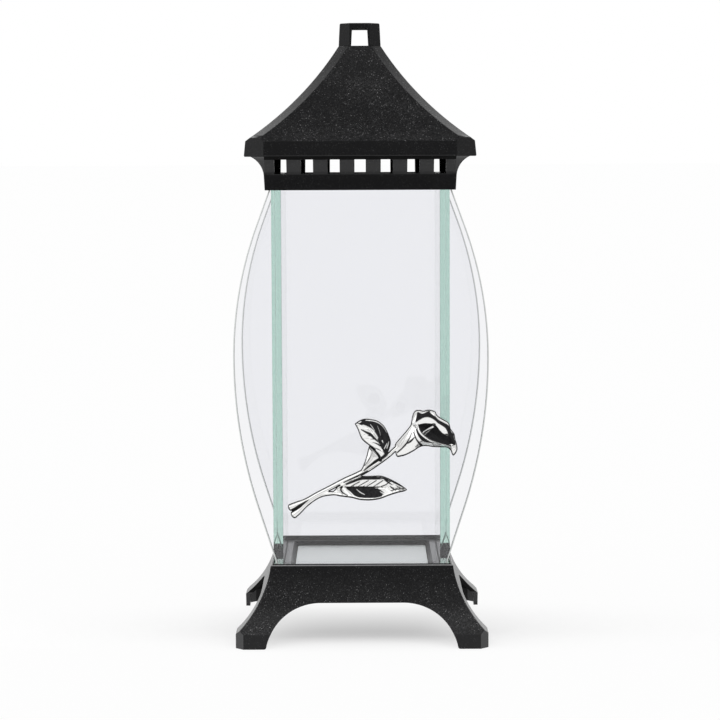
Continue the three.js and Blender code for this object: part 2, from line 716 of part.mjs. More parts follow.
place(lantern, 'front_pane', makeBulgedPane(), clearGlass()).position.y = -glassInnerHalf;
place(lantern, 'rear_pane', makeBulgedPane(), clearGlass()).position.y = glassHalf;
['left_pane', 'right_pane'].forEach((name, i) => {
  const side = i === 0 ? -1 : 1;
  const pane = place(lantern, name, makeSidePane(), clearGlass());
  pane.position.set(side * (glassHalf - glassThickness / 2), 0, glassFoot + glassHeight / 2);
});

place(lantern, 'glass_head_seal', glassSlotRing(
  collarCavityHalf, glassTop - headSealGrip, flangeUnderside, collarFoot, glassTop), blackSeal());
place(lantern, 'vent_collar', makeVentCollar(), blackCoat());

place(roofLid, 'roof', makeRoof(), blackCoat());
place(roofLid, 'chimney', makeChimney(), blackCoat());

place(lantern, 'calla_lily', makeCalla(), polishedSilver());
place(lantern, 'lower_leaf_pad', makePad(lowerLeafPadShare, leafPadRadius), paleAdhesive());
place(lantern, 'upper_leaf_pad', makePad(upperLeafPadShare, leafPadRadius), paleAdhesive());
place(lantern, 'flower_pad', makePad(flowerPadShare, flowerPadRadius), paleAdhesive());

export default lantern;
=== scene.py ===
"""Grave lantern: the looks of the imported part, in metres, in the part's own frame."""

import math

import bmesh
import bpy
import numpy as np
from mathutils import Matrix, Vector
from mathutils.geometry import delaunay_2d_cdt


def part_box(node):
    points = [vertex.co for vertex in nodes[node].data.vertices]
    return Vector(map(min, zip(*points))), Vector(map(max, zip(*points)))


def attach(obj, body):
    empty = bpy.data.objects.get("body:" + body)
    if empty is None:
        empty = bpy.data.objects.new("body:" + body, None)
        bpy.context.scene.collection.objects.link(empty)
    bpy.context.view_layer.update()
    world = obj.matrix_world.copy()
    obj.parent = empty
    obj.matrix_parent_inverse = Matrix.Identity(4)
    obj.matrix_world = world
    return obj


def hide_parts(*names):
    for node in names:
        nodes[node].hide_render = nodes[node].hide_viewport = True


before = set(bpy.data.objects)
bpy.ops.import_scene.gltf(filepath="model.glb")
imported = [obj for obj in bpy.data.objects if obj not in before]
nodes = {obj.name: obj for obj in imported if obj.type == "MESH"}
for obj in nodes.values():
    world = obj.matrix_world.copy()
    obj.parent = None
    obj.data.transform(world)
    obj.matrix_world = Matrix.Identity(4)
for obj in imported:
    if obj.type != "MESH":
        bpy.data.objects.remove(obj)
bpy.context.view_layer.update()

MM = 0.001
WELD = 0.002 * MM
WIDTH_AXIS = 0
DEPTH_AXIS = 1

# Places of the CAD pieces that the finishes follow
RIM_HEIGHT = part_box("base")[1][2]
GLASS_HALF = -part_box("left_pane")[0][0]
SIDE_PANE_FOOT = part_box("left_pane")[0][2]
LILY_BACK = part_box("calla_lily")[1][1]

# Camera, as fitted to the photograph
CAMERA_PLACE = Vector((-0.0005, -1.2107, 0.25085))
CAMERA_PITCH = math.radians(5.19)
CAMERA_ROLL = math.radians(-0.2426)
CAMERA_LENS = 115.33
CAMERA_SENSOR = 36.0
CAMERA_NEAR = 50 * MM

# Rounding of the edges, the angles that count as flat or as sharp, and the pull of flat faces on shading
CASTING_EDGE = 0.35 * MM
COLLAR_EDGE = 0.25 * MM
CHIMNEY_EDGE = 0.3 * MM
PLATE_EDGE = 0.25 * MM
SEAL_EDGE = 0.15 * MM
PAD_EDGE = 0.1 * MM
EDGE_STEPS = 3
EDGE_ANGLE = math.radians(25)
FLAT_ANGLE = math.radians(0.6)
PANE_FLAT_ANGLE = math.radians(0.15)
RELIEF_ANGLE = math.radians(50)
FLAT_WEIGHT = 100

# How far down a face has to look to be left bare by the spray
UNDERSIDE_DROP = 0.5
COLLAR_UNDERSIDE_DROP = 0.8

# Height of the seal's bead over the base's rim
SEAL_BEAD = 0.45 * MM

# Panes: broad faces, arrises, what a side pane leaves free, and the painted glow at the foot of its front
# edge
BROAD_FACING = 0.5
BROAD_ARRIS = 0.6 * MM
SIDE_ARRIS = 0.1 * MM
SIDE_GAP = 0.06 * MM
ARRIS_ANGLE = math.radians(30)
FOOT_LIGHT_RISE = (0.3 * MM, 0.2 * MM)
FOOT_LIGHT_DEPTH = (2 * MM, MM)

# Light and colours, as red, green, blue and cover
BLACK = (0, 0, 0, 1)
WHITE = (1, 1, 1, 1)
# Colour of the painted glow at the foot of a side pane's front edge
FOOT_LIGHT = (0.95, 0.97, 0.96, 1)

# Glass: index, and the shares of red, green and blue that one face lets through
GLASS_INDEX = 1.5
PANE_TINT_SHARES = (0.9600, 0.9620, 0.9710)
SIDE_TINT_SHARES = (0.995, 1.0, 1.0)
STRIP_TINT_SHARES = (0.713, 0.851, 0.795)
RIM_TINT_SHARES = (0.77, 0.85, 0.82)
STRIP_ROUGHNESS = 0.02
RIM_ROUGHNESS = 0.10

# Powder coat: its two colours, its textures in waves or cells a metre, and its orange peel
COAT_DARK = (0.003, 0.003, 0.0035, 1)
COAT_LIGHT = (0.95, 0.95, 0.96, 1)
COAT_GRAIN = 1500.0
COAT_SWELL = 260.0
COAT_DRIFT = 45.0
COAT_GRIT = 2700.0
COAT_SPARKS = 3200.0
COAT_FLECKS = 1400.0
COAT_FLECK_FIELDS = 330.0
COAT_SWELL_WEIGHT = 1.5
COAT_PEEL = 0.07 * MM
COAT_MIRROR = 0.12
COAT_SKIN_ROUGHNESS = 0.14
COAT_SKIN_INDEX = 1.5

# Powder coat: by each value, where an effect sets in and ends, and its strength at both
COAT_ROUGHNESS = (0.3, 0.7, 0.30, 0.42)
COAT_SKIN = (0.10, 0.36, 0.0, 0.22)
# Grains and flecks brighter on faces that look up: painted glints of light from above
FACING_UP = (0.1, 0.6, 0.14, 1.0)
GRIT_LIGHT = (0.45, 1.0, 0.0, 0.040)
SPARK_LIGHT = (0.86, 0.98, 0.0, 0.34)
DRIFT_LIGHT = (0.35, 0.65, 0.5, 1.2)
FLECK_EDGE = (0.20, 0.10)
FLECK_LIGHT = (0.48, 0.60, 0.0, 0.08)
FLECK_FACING = (0.14, 1.0, 0.7, 1.0)
# Coves and feet lightened in colour: painted reflection of the white ground
COVE_PAINTED_SHEEN = (-0.06, -0.22, 0.0, 0.036)
FOOT_PAINTED_SHEEN = (0.2, 0.6, 0.012, 0.055)
FOOT_TOP = (22 * MM, 14 * MM)

# Painted highlight on the base's top arris: how strongly it shows, on which slants, and where it ends
# below and above the base's rim
ARRIS_HIGHLIGHT = 0.22
ARRIS_UPRIGHT = (0.10, 0.30)
ARRIS_LEVEL = (0.97, 0.85)
ARRIS_DROP = (0.7 * MM, 0.4 * MM)
ARRIS_RISE = (10 * MM, 8 * MM)

# Other finishes: two shades each, grain in waves a metre, effects as for the coat, and the marks' depth
BARE_SHADES = ((0.004, 0.004, 0.004, 1), (0.012, 0.012, 0.012, 1))
BARE_GRAIN = 900.0
ARRIS_SHADES = ((0.52, 0.54, 0.53, 1), (0.62, 0.64, 0.63, 1))
ARRIS_GRAIN = 700.0
SEAL_SHADES = ((0.004, 0.004, 0.004, 1), (0.009, 0.009, 0.009, 1))
SEAL_GRAIN = 400.0
SHEET_SHADES = ((0.92, 0.95, 0.93, 1), (0.97, 1.00, 0.98, 1))
SHEET_GRAIN = 500.0
SHEET_ROUGHNESS = (0.3, 0.7, 0.32, 0.42)
# The silver's second shade is the dark of patina and painted shade alike
SILVER_SHADES = ((0.93, 0.93, 0.92, 1), (0.012, 0.012, 0.013, 1))
SILVER_GRAIN = 900.0
SILVER_WEAR = (0.25, 0.75, 0.975, 1.0)
SILVER_METAL = (0.0, 1.0, 1.0, 0.0)
SILVER_ROUGHNESS = (0.0, 1.0, 0.16, 0.4)
ADHESIVE_SHADES = ((0.62, 0.62, 0.6, 1), (0.72, 0.72, 0.7, 1))
ADHESIVE_GRAIN = 1500.0
METAL_MARKS = 0.02 * MM

# Ground: how far it reaches, its white, what it sends back of the light, and the band where shade shows
GROUND_HALF = 40.0
GROUND_FRONT = 0.42
GROUND_WHITE = 0.985
GROUND_LIT = (0.56, 0.56, 0.56, 1)
GROUND_GLOW = 0.45
# Painted shade: the band in which the ground's glow drops under the lantern
SHADE_FRONT = (-72 * MM, -32 * MM)
SHADE_REAR = (-20 * MM, 52 * MM)
SHADE_LEAST_SHARE = 0.1

# Tent, by direction: where each part of its light sets in and ends, and its strength at both
TENT_SIDES = (-0.75, 0.0, 0.0, 1.05)
TENT_TOP = (0.72, 0.90, 1.0, 0.22)
TENT_FRONT = (-0.30, 0.30, 1.0, 0.0)
TENT_FRONT_RISE = (0.0, 0.60, 0.62, 1.35)
TENT_WINDOW = (-0.92, -0.70, 0.7, 0.0)


def make_camera():
    """The camera, with its lens and its slight roll."""
    data = bpy.data.cameras.new("camera")
    data.lens = CAMERA_LENS
    data.sensor_width = CAMERA_SENSOR
    data.clip_start = CAMERA_NEAR
    camera = bpy.data.objects.new("camera", data)
    turn = Matrix.Rotation(math.pi / 2 - CAMERA_PITCH, 4, "X") @ Matrix.Rotation(CAMERA_ROLL, 4, "Z")
    camera.matrix_world = Matrix.Translation(CAMERA_PLACE) @ turn
    bpy.context.scene.collection.objects.link(camera)
    bpy.context.scene.camera = camera


# Node helpers


class Nodes:
    """A node tree, with short calls for the nodes that the finishes and the world share."""

    def __init__(self, owner, output="OutputMaterial"):
        owner.use_nodes = True
        self.owner = owner
        self.tree = owner.node_tree
        self.tree.nodes.clear()
        self.output = self.add(output)

    def add(self, kind, inputs=None, **settings):
        """A node with its settings, and its inputs as numbers, colours or other nodes' outputs."""
        node = self.tree.nodes.new("ShaderNode" + kind)
        for key, value in settings.items():
            setattr(node, key, value)
        for key, value in (inputs or {}).items():
            if hasattr(value, "links"):
                self.tree.links.new(value, node.inputs[key])
            else:
                node.inputs[key].default_value = value
        return node

    def principled(self, **inputs):
        return self.add("BsdfPrincipled", {key.replace("_", " "): value for key, value in inputs.items()})

    def place(self):
        return self.add("TexCoord").outputs["Object"]

    def noise(self, scale, detail=2.0, roughness=0.5):
        inputs = {"Scale": scale, "Detail": detail, "Roughness": roughness, "Vector": self.place()}
        return self.add("TexNoise", inputs).outputs["Fac"]

    def cells(self, scale, output="Distance"):
        return self.add("TexVoronoi", {"Scale": scale, "Vector": self.place()}).outputs[output]

    def spread(self, value, low, high, to_low=0.0, to_high=1.0, shape="LINEAR"):
        """The value's way from low to high, as a way from one number to another."""
        inputs = {"Value": value, "From Min": low, "From Max": high, "To Min": to_low, "To Max": to_high}
        return self.add("MapRange", inputs, interpolation_type=shape).outputs["Result"]

    def parts(self, vector):
        """The three parts of a vector, by the names of their axes."""
        return self.add("SeparateXYZ", {"Vector": vector}).outputs

    def math(self, operation, first, second=0.0):
        return self.add("Math", {0: first, 1: second}, operation=operation).outputs[0]

    def product(self, first, *others):
        for other in others:
            first = self.math("MULTIPLY", first, other)
        return first

    def mix(self, share, first, second):
        return self.add("Mix", {"Factor": share, 6: first, 7: second}, data_type="RGBA").outputs[2]

    def bump(self, height, distance, strength):
        inputs = {"Height": height, "Distance": distance, "Strength": strength}
        return self.add("Bump", inputs).outputs["Normal"]

    def blend(self, share, first, second):
        """Mix of two shaders."""
        return self.add("MixShader", {0: share, 1: first.outputs[0], 2: second.outputs[0]})

    def finish(self, shader):
        self.tree.links.new(shader.outputs[0], self.output.inputs["Surface"])
        return self.owner


def new_finish(name):
    """The empty node tree of a new material."""
    return Nodes(bpy.data.materials.new(name))


# Materials


def black_coat():
    """Black powder coat: an orange-peel skin, grains of uneven brightness and bright flecks."""
    tree = new_finish("powder_coat")
    slope = tree.parts(tree.add("NewGeometry").outputs["Normal"])
    height = tree.parts(tree.place())["Z"]
    # Base colour: the coat's own grain and flecks, plus painted glints, a painted reflection on coves and
    # feet and a painted highlight on the arris
    grain_and_painted_light = tree.math("ADD", coat_speckle_and_glints(tree, slope), coat_painted_sheen(tree, slope, height))
    grain_and_painted_light = tree.math("ADD", grain_and_painted_light, coat_arris_highlight(tree, slope, height))
    grain = tree.noise(COAT_GRAIN, detail=3.0, roughness=0.65)
    peel = tree.math("ADD", grain, tree.product(tree.noise(COAT_SWELL), COAT_SWELL_WEIGHT))
    body = tree.principled(
        Base_Color=tree.mix(grain_and_painted_light, COAT_DARK, COAT_LIGHT),
        Roughness=tree.spread(grain, *COAT_ROUGHNESS),
        Specular_IOR_Level=COAT_MIRROR,
        Normal=tree.bump(peel, COAT_PEEL, strength=0.8),
    )

    # The smooth top skin mirrors only what is seen along it
    skin = tree.add("BsdfGlossy", {"Roughness": COAT_SKIN_ROUGHNESS})
    grazing = tree.add("Fresnel", {"IOR": COAT_SKIN_INDEX}).outputs[0]
    return tree.finish(tree.blend(tree.spread(grazing, *COAT_SKIN), body, skin))


def coat_speckle_and_glints(tree, slope):
    """The coat's grains and flecks, made brighter on faces that look up: painted glints of light from
    above.
    """
    facing_up = tree.spread(slope["Z"], *FACING_UP)
    grit = tree.spread(tree.cells(COAT_GRIT, "Color"), *GRIT_LIGHT)
    sparks = tree.spread(tree.cells(COAT_SPARKS, "Color"), *SPARK_LIGHT)
    drift = tree.spread(tree.noise(COAT_DRIFT, roughness=0.6), *DRIFT_LIGHT)
    grains = tree.product(tree.math("ADD", grit, sparks), drift)
    dots = tree.spread(tree.cells(COAT_FLECKS), *FLECK_EDGE)
    fields = tree.spread(tree.noise(COAT_FLECK_FIELDS, detail=1.0), *FLECK_LIGHT)
    flecks = tree.product(dots, fields, tree.spread(facing_up, *FLECK_FACING))
    return tree.math("ADD", tree.product(grains, facing_up), flecks)


def coat_painted_sheen(tree, slope, height):
    """Coves and feet lightened in colour: a painted reflection of the white ground on the orange peel."""
    cove = tree.spread(slope["Z"], *COVE_PAINTED_SHEEN)
    facet = tree.spread(tree.math("ABSOLUTE", slope["X"]), *FOOT_PAINTED_SHEEN)
    foot = tree.product(tree.spread(height, *FOOT_TOP), facet)
    return tree.math("MAXIMUM", cove, foot)


def coat_arris_highlight(tree, slope, height):
    """Painted highlight along the arris round the top of the base."""
    turned = tree.product(tree.spread(slope["Z"], *ARRIS_UPRIGHT), tree.spread(slope["Z"], *ARRIS_LEVEL))
    over = tree.spread(height, *(RIM_HEIGHT - drop for drop in ARRIS_DROP))
    below = tree.spread(height, *(RIM_HEIGHT + rise for rise in ARRIS_RISE))
    return tree.product(turned, over, below, ARRIS_HIGHLIGHT)


def mottled(name, grain, shades, detail=2.0, **inputs):
    """A finish whose colour wanders between two shades."""
    tree = new_finish(name)
    return tree.finish(tree.principled(Base_Color=tree.mix(tree.noise(grain, detail), *shades), **inputs))


def bare_inside():
    """Thin, dull coat on the faces that look down, where the spray hardly reached."""
    return mottled("bare_inside", BARE_GRAIN, BARE_SHADES, 3.0, Roughness=0.9, Specular_IOR_Level=0.05)


def ground_arris():
    """Fine-ground glass, dull and grey."""
    return mottled("ground_arris", ARRIS_GRAIN, ARRIS_SHADES, Roughness=0.6)


def black_seal():
    """Black silicone, slightly uneven."""
    return mottled("silicone", SEAL_GRAIN, SEAL_SHADES, Roughness=0.45)


def pale_adhesive():
    """Set adhesive, pale and dull."""
    return mottled("pale_adhesive", ADHESIVE_GRAIN, ADHESIVE_SHADES, Roughness=0.8)


def glass_inputs(tint, roughness):
    """Glass that bends and mirrors what is seen through it, and takes its tint at each face."""
    return {
        "Base_Color": (*(share**2 for share in tint), 1),
        "Roughness": roughness,
        "IOR": GLASS_INDEX,
        "Transmission_Weight": 1.0,
    }


def clear_glass(name, tint, roughness=0.0):
    """A face of clear glass."""
    tree = new_finish(name)
    return tree.finish(tree.principled(**glass_inputs(tint, roughness)))


def cut_edge():
    """Green cut edge of a side pane, whose foot glows with painted light in place of the light led down
    through the pane.
    """
    tree = new_finish("cut_edge")
    place = tree.parts(tree.place())
    low = tree.spread(place["Z"], *(SIDE_PANE_FOOT + rise for rise in FOOT_LIGHT_RISE))
    near = tree.spread(place["Y"], *FOOT_LIGHT_DEPTH)
    # The foot glows: painted light, not a lamp
    shader = tree.principled(
        **glass_inputs(STRIP_TINT_SHARES, STRIP_ROUGHNESS),
        Emission_Color=FOOT_LIGHT,
        Emission_Strength=tree.product(low, near),
    )
    return tree.finish(shader)


def satin_metal():
    """Light sheet with fine rolling marks."""
    tree = new_finish("rolled_sheet")
    grain = tree.noise(SHEET_GRAIN, detail=3.0)
    shader = tree.principled(
        Base_Color=tree.mix(grain, *SHEET_SHADES),
        Metallic=0.6,
        Roughness=tree.spread(grain, *SHEET_ROUGHNESS),
        Normal=tree.bump(grain, METAL_MARKS, strength=0.3),
    )
    return tree.finish(shader)


def polished_silver():
    """Polished casting, dark where the mesh's own tone says: partly patina in its hollows, partly painted
    shade and painted dark reflections.
    """
    tree = new_finish("silver_patina_and_shade")
    tone = tree.add("Attribute", attribute_name="tone").outputs["Fac"]
    wear = tree.noise(SILVER_GRAIN, detail=3.0, roughness=0.6)
    # Dark tone: patina and painted shade alike
    patina_and_shade = tree.product(tone, tree.spread(wear, *SILVER_WEAR))
    shader = tree.principled(
        Base_Color=tree.mix(patina_and_shade, *SILVER_SHADES),
        Metallic=tree.spread(patina_and_shade, *SILVER_METAL),
        Roughness=tree.spread(patina_and_shade, *SILVER_ROUGHNESS),
        Specular_IOR_Level=0.0,
        Normal=tree.bump(wear, METAL_MARKS, strength=0.4),
    )
    return tree.finish(shader)


# Finished pieces that stand for CAD nodes


def add_piece(name, mesh):
    """A new object in the scene."""
    piece = bpy.data.objects.new(name, mesh)
    bpy.context.scene.collection.objects.link(piece)
    return piece


def dress(piece, node, body):
    """Lets the piece stand for its CAD node, on the node's body."""
    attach(piece, body)
    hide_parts(node)


def clean_copy(node, flat_angle=FLAT_ANGLE):
    """The node's solid as a mesh of whole flat faces, ready for its edges to be rounded."""
    work = bmesh.new()
    work.from_mesh(nodes[node].data)
    bmesh.ops.remove_doubles(work, verts=work.verts, dist=WELD)
    bmesh.ops.dissolve_limit(
        work, angle_limit=flat_angle, verts=work.verts, edges=work.edges, delimit={"NORMAL"}
    )
    mesh = bpy.data.meshes.new(node + "_shape")
    work.to_mesh(mesh)
    work.free()
    return mesh


def bevel_edges(piece, width, steps, angle):
    """Takes off the piece's edges that are sharper than the angle."""
    bevel = piece.modifiers.new("edges", "BEVEL")
    bevel.width = width
    bevel.segments = steps
    bevel.limit_method = "ANGLE"
    bevel.angle_limit = angle
    return bevel


def rounded_piece(node, material, body, radius, below=None, drop=UNDERSIDE_DROP):
    """A finished copy of the node with its edges rounded, and its downward faces in their own finish."""
    mesh = clean_copy(node)
    mesh.materials.append(material)
    if below:
        mesh.materials.append(below)
        for face in mesh.polygons:
            face.material_index = 1 if face.normal.z < -drop else 0
    mesh.shade_smooth()
    mesh.set_sharp_from_angle(angle=EDGE_ANGLE)
    piece = add_piece(node + "_finished", mesh)
    bevel_edges(piece, radius, EDGE_STEPS, EDGE_ANGLE)
    even = piece.modifiers.new("shading", "WEIGHTED_NORMAL")
    even.weight = FLAT_WEIGHT
    dress(piece, node, body)
    return piece


def press_up(piece, height):
    """Lifts the seal's top outside the panes to this height, as a bead pressed up against the glass."""
    top = max(vertex.co.z for vertex in piece.data.vertices)
    for vertex in piece.data.vertices:
        outward = max(abs(vertex.co.x), abs(vertex.co.y))
        if vertex.co.z > top - WELD and outward > GLASS_HALF - WELD:
            vertex.co.z = height


def glass_piece(node, finishes, flat_axis, arris, shrink=0.0):
    """A pane: clear skins on its broad faces, cut edges round it, and an arris in the last finish."""
    mesh = clean_copy(node, PANE_FLAT_ANGLE)
    for finish in finishes:
        mesh.materials.append(finish)
    for face in mesh.polygons:
        face.material_index = 0 if abs(face.normal[flat_axis]) > BROAD_FACING else 1
    if shrink:
        other = DEPTH_AXIS - flat_axis
        for vertex in mesh.vertices:
            vertex.co[other] -= math.copysign(shrink, vertex.co[other])
    piece = add_piece(node + "_finished", mesh)
    bevel_edges(piece, arris, 1, ARRIS_ANGLE).material = len(finishes) - 1
    dress(piece, node, "lantern")


# Calla lily casting. Places are shares of its span and rise from its lower left corner, sizes are
# millimetres, and heights are measured from its flat back

LILY_LEFT = -37.4
LILY_FOOT = 64.2
LILY_SPAN = 86.3
LILY_RISE = 55.5

# Net: its grain, the gap of its rows and its clearance from the outlines as shares of it, and its margin
LILY_GRAIN = 0.24
LILY_ROW_SHARE = 0.866
LILY_CLEAR_SHARE = 0.3
LILY_MARGIN = 1.0

# Outlines: their steps, the parts of a curve between two given points, and what counts as on them
LILY_STEP = 0.45
CURVE_STEPS = 12
LILY_EDGE_REACH = 0.02
LILY_WELD = 1e-4

# Points that are measured at a time, and the least number that anything is divided by
LILY_BATCH = 4000
TINY = 1e-6

# Dark line round the casting, above and below it, the soft edge of every line, and the steps along lines
# The dark line is partly patina and partly painted shade, wider below the casting
LILY_OUTLINE = 0.48
LILY_UNDERLINE = 0.95
SOFT_EDGE = 0.14
STROKE_STEP = 0.4

# Stems, leaves, sheath and flower

STEM_MAIN_SHARES = [
    (0.012, 0.100), (0.053, 0.127), (0.100, 0.155), (0.177, 0.223), (0.254, 0.284), (0.336, 0.348),
    (0.413, 0.402), (0.478, 0.457), (0.537, 0.516), (0.590, 0.576), (0.628, 0.629), (0.658, 0.666),
]
STEM_SIDE_SHARES = [
    (0.032, 0.032), (0.062, 0.069), (0.106, 0.131), (0.153, 0.184), (0.200, 0.218), (0.259, 0.230),
    (0.318, 0.222),
]
FORK_WEB_SHARES = [
    (0.006, 0.100), (0.022, 0.062), (0.050, 0.092), (0.075, 0.135), (0.110, 0.178), (0.059, 0.160),
    (0.028, 0.130),
]
STEM_MAIN_RADII = [1.75, 1.35, 1.3, 1.5, 1.45, 1.2, 1.2]
STEM_SIDE_RADII = [1.95, 1.45, 1.3, 1.2, 0.9]
STEM_CENTRE = 0.9
STEM_CROWN_SHARE = 1.05
STEM_END_SHARE = 0.55
STEM_END_STEPS = 8
WEB_HEIGHT = 0.9

LOW_UPPER_SHARES = [
    (0.265, 0.250), (0.307, 0.308), (0.366, 0.362), (0.416, 0.388), (0.472, 0.390), (0.545, 0.392),
    (0.590, 0.370), (0.637, 0.333), (0.672, 0.299), (0.700, 0.266),
]
LOW_LOWER_SHARES = [
    (0.252, 0.232), (0.295, 0.207), (0.330, 0.199), (0.377, 0.189), (0.424, 0.171), (0.483, 0.166),
    (0.542, 0.179), (0.595, 0.209), (0.648, 0.234), (0.684, 0.246), (0.702, 0.260),
]
LOW_RIB_SHARES = [
    (0.258, 0.241), (0.312, 0.283), (0.365, 0.289), (0.424, 0.288), (0.495, 0.286), (0.560, 0.288),
    (0.625, 0.276), (0.701, 0.263),
]
UP_OUTER_SHARES = [
    (0.581, 0.574), (0.594, 0.620), (0.604, 0.666), (0.607, 0.707), (0.598, 0.758), (0.582, 0.815),
    (0.563, 0.859), (0.532, 0.896), (0.494, 0.913), (0.453, 0.918), (0.423, 0.902), (0.396, 0.874),
]
UP_INNER_SHARES = [
    (0.549, 0.547), (0.534, 0.584), (0.508, 0.639), (0.481, 0.670), (0.446, 0.713), (0.429, 0.750),
    (0.417, 0.801), (0.407, 0.838), (0.395, 0.871),
]
UP_RIB_SHARES = [
    (0.572, 0.565), (0.565, 0.620), (0.549, 0.666), (0.533, 0.717), (0.511, 0.777), (0.482, 0.833),
    (0.444, 0.865), (0.396, 0.873),
]
SHEATH_OUTER_SHARES = [
    (0.428, 0.441), (0.440, 0.473), (0.453, 0.524), (0.465, 0.584), (0.472, 0.630), (0.480, 0.670),
]
SHEATH_INNER_SHARES = [
    (0.445, 0.437), (0.484, 0.482), (0.522, 0.524), (0.545, 0.556), (0.531, 0.597), (0.505, 0.644),
]
SHEATH_RIB_SHARES = [
    (0.437, 0.439), (0.460, 0.487), (0.481, 0.542), (0.493, 0.593), (0.492, 0.653),
]

FLOWER_SHARES = [
    (0.631, 0.670), (0.651, 0.720), (0.678, 0.768), (0.708, 0.824), (0.724, 0.861), (0.729, 0.900),
    (0.736, 0.952), (0.746, 0.983), (0.759, 0.996), (0.779, 0.997), (0.798, 0.990), (0.814, 0.995),
    (0.834, 1.000), (0.849, 0.995), (0.861, 0.989), (0.871, 0.980), (0.879, 0.952), (0.894, 0.932),
    (0.919, 0.909), (0.942, 0.889), (0.953, 0.864), (0.959, 0.827), (0.971, 0.799), (0.982, 0.775),
    (0.987, 0.729), (0.994, 0.694), (0.999, 0.647), (0.995, 0.618), (0.984, 0.589), (0.974, 0.578),
    (0.966, 0.592), (0.960, 0.619), (0.948, 0.641), (0.931, 0.652), (0.902, 0.653), (0.858, 0.655),
    (0.817, 0.664), (0.789, 0.660), (0.766, 0.644), (0.749, 0.625), (0.718, 0.597), (0.691, 0.578),
    (0.671, 0.570), (0.640, 0.572),
]
LIP_SHARES = [
    (0.766, 0.866), (0.782, 0.805), (0.807, 0.767), (0.837, 0.735), (0.870, 0.714), (0.900, 0.697),
    (0.930, 0.685), (0.962, 0.666),
]
THROAT_SHARES = [
    (0.766, 0.866), (0.784, 0.875), (0.805, 0.881), (0.837, 0.878), (0.864, 0.867), (0.881, 0.842),
    (0.896, 0.812), (0.911, 0.786), (0.931, 0.770), (0.955, 0.744), (0.972, 0.711), (0.977, 0.682),
    (0.962, 0.666),
]
CREST_SHARES = [
    (0.750, 0.875), (0.773, 0.910), (0.795, 0.930), (0.820, 0.937), (0.843, 0.930), (0.866, 0.906),
    (0.885, 0.882), (0.915, 0.858), (0.932, 0.831), (0.942, 0.790), (0.949, 0.750),
]
SPADIX_SHARES = [
    (0.790, 0.791), (0.823, 0.822), (0.856, 0.852),
]

# Heights along the lines above, as (share of the line, height) pairs
FLOWER_EDGE_HEIGHTS = [
    (0.0, 1.5), (0.12, 1.6), (0.24, 2.6), (0.36, 3.2), (0.5, 3.0), (0.62, 2.6), (0.7, 1.6), (0.8, 1.2),
    (0.9, 1.1), (1.0, 1.4),
]
LIP_HEIGHTS = [(0.0, 5.6), (0.3, 7.6), (0.5, 7.8), (0.75, 6.0), (1.0, 3.6)]
CREST_HEIGHTS = [(0.0, 5.6), (0.35, 5.2), (0.7, 4.8), (1.0, 3.8)]
SPADIX_HEIGHTS = [(0.0, 3.0), (1.0, 4.6)]
SPADIX_RADIUS = 0.85
CREST_FALL = 0.9
THROAT_FLOOR = 1.8
THROAT_REACH = 1.5

# Heights of the leaves and the sheath, and how full their round forms are, as powers of shares
LEAF_FLOOR = 1.5
LOW_LEAF_CUP = 1.3
LOW_LEAF_POWER = 1.2
LOW_LEAF_ENDS_POWER = 0.5
LOW_LEAF_ENDS_SHARES = (0.08, 0.98)
UP_LEAF_CROWN = 2.0
UP_LEAF_POWER = 0.7
SHEATH_FLOOR = 1.2
SHEATH_CROWN = 1.7
CONE_POWER = 0.9
PETAL_POWER = 1.6

# Veins of a leaf: how many, their width and slant as shares of the rib, and how far out they reach
VEINS = 7
VEIN_WIDTH_SHARE = 0.012
VEIN_REACH_SHARE = 1.15
LOW_LEAF_VEIN = 0.35
LOW_LEAF_SLANT_SHARE = 0.16
UP_LEAF_VEIN = 0.3
UP_LEAF_SLANT_SHARE = 0.2

# Fall of the lower leaf's edge and of the whole casting's rim: depth and reach, over the floor of the net
NET_FLOOR = 0.4
LOW_LEAF_FALL = 0.5
LOW_LEAF_REACH = 0.3
RIM_FALL = 0.35
RIM_REACH = 0.25

# Ridges and grooves: height or depth, width, and distance from their line. A rib's groove is as wide as a
# share of its leaf
LOW_LEAF_RIM = (0.5, 0.35, 0.5)
LOW_LEAF_GROOVE = (0.5, 0.06, 0.0)
UP_LEAF_RIM = (0.35, 0.3, 0.45)
UP_LEAF_GROOVE = (0.6, 0.05, 0.0)
LIP_ROLL = (0.35, 0.6, 0.0)
CONE_FOLD = (0.7, 0.45, 1.5)
CONE_FOLD_ONSET = 6.0
PETAL_ROLL = (0.45, 0.35, 0.55)

# Tones of the finish, and its dark and bright fields: outline and tone
# Dark tones are partly patina in the hollows and partly painted shade and painted dark reflections
DARK = 1.0
SHADE = 0.6
HALF_SHADE = 0.45
RIM_GREY = 0.35
BACK_TONE = 0.25
SHEATH_TONE = 0.05
CUP_TONE = 0.04
STEM_TONE = 0.03
UP_LEAF_TONE = 0.02
BRIGHT = 0.0
FIELD_SHARES = [
    # Lower leaf
    ([(0.339, 0.289), (0.377, 0.282), (0.436, 0.283), (0.495, 0.281), (0.530, 0.272), (0.545, 0.242),
      (0.560, 0.223), (0.545, 0.198), (0.507, 0.190), (0.459, 0.190), (0.412, 0.198), (0.377, 0.229)],
     DARK),
    # Flower: the petal behind its crest
    ([(0.752, 0.892), (0.757, 0.937), (0.764, 0.982), (0.785, 0.981), (0.806, 0.976), (0.832, 0.992),
      (0.853, 0.974), (0.872, 0.937), (0.890, 0.912), (0.925, 0.880), (0.949, 0.856), (0.962, 0.800),
      (0.981, 0.770), (0.988, 0.705), (0.984, 0.674), (0.961, 0.691), (0.940, 0.724), (0.942, 0.779),
      (0.934, 0.816), (0.920, 0.845), (0.884, 0.881), (0.867, 0.906), (0.843, 0.930), (0.820, 0.938),
      (0.796, 0.931), (0.773, 0.911)], DARK),
    # Flower: its tip
    ([(0.950, 0.680), (0.966, 0.684), (0.980, 0.668), (0.990, 0.642), (0.998, 0.645), (0.997, 0.627),
      (0.987, 0.604), (0.978, 0.582), (0.971, 0.601), (0.964, 0.627), (0.952, 0.650)], BRIGHT),
]
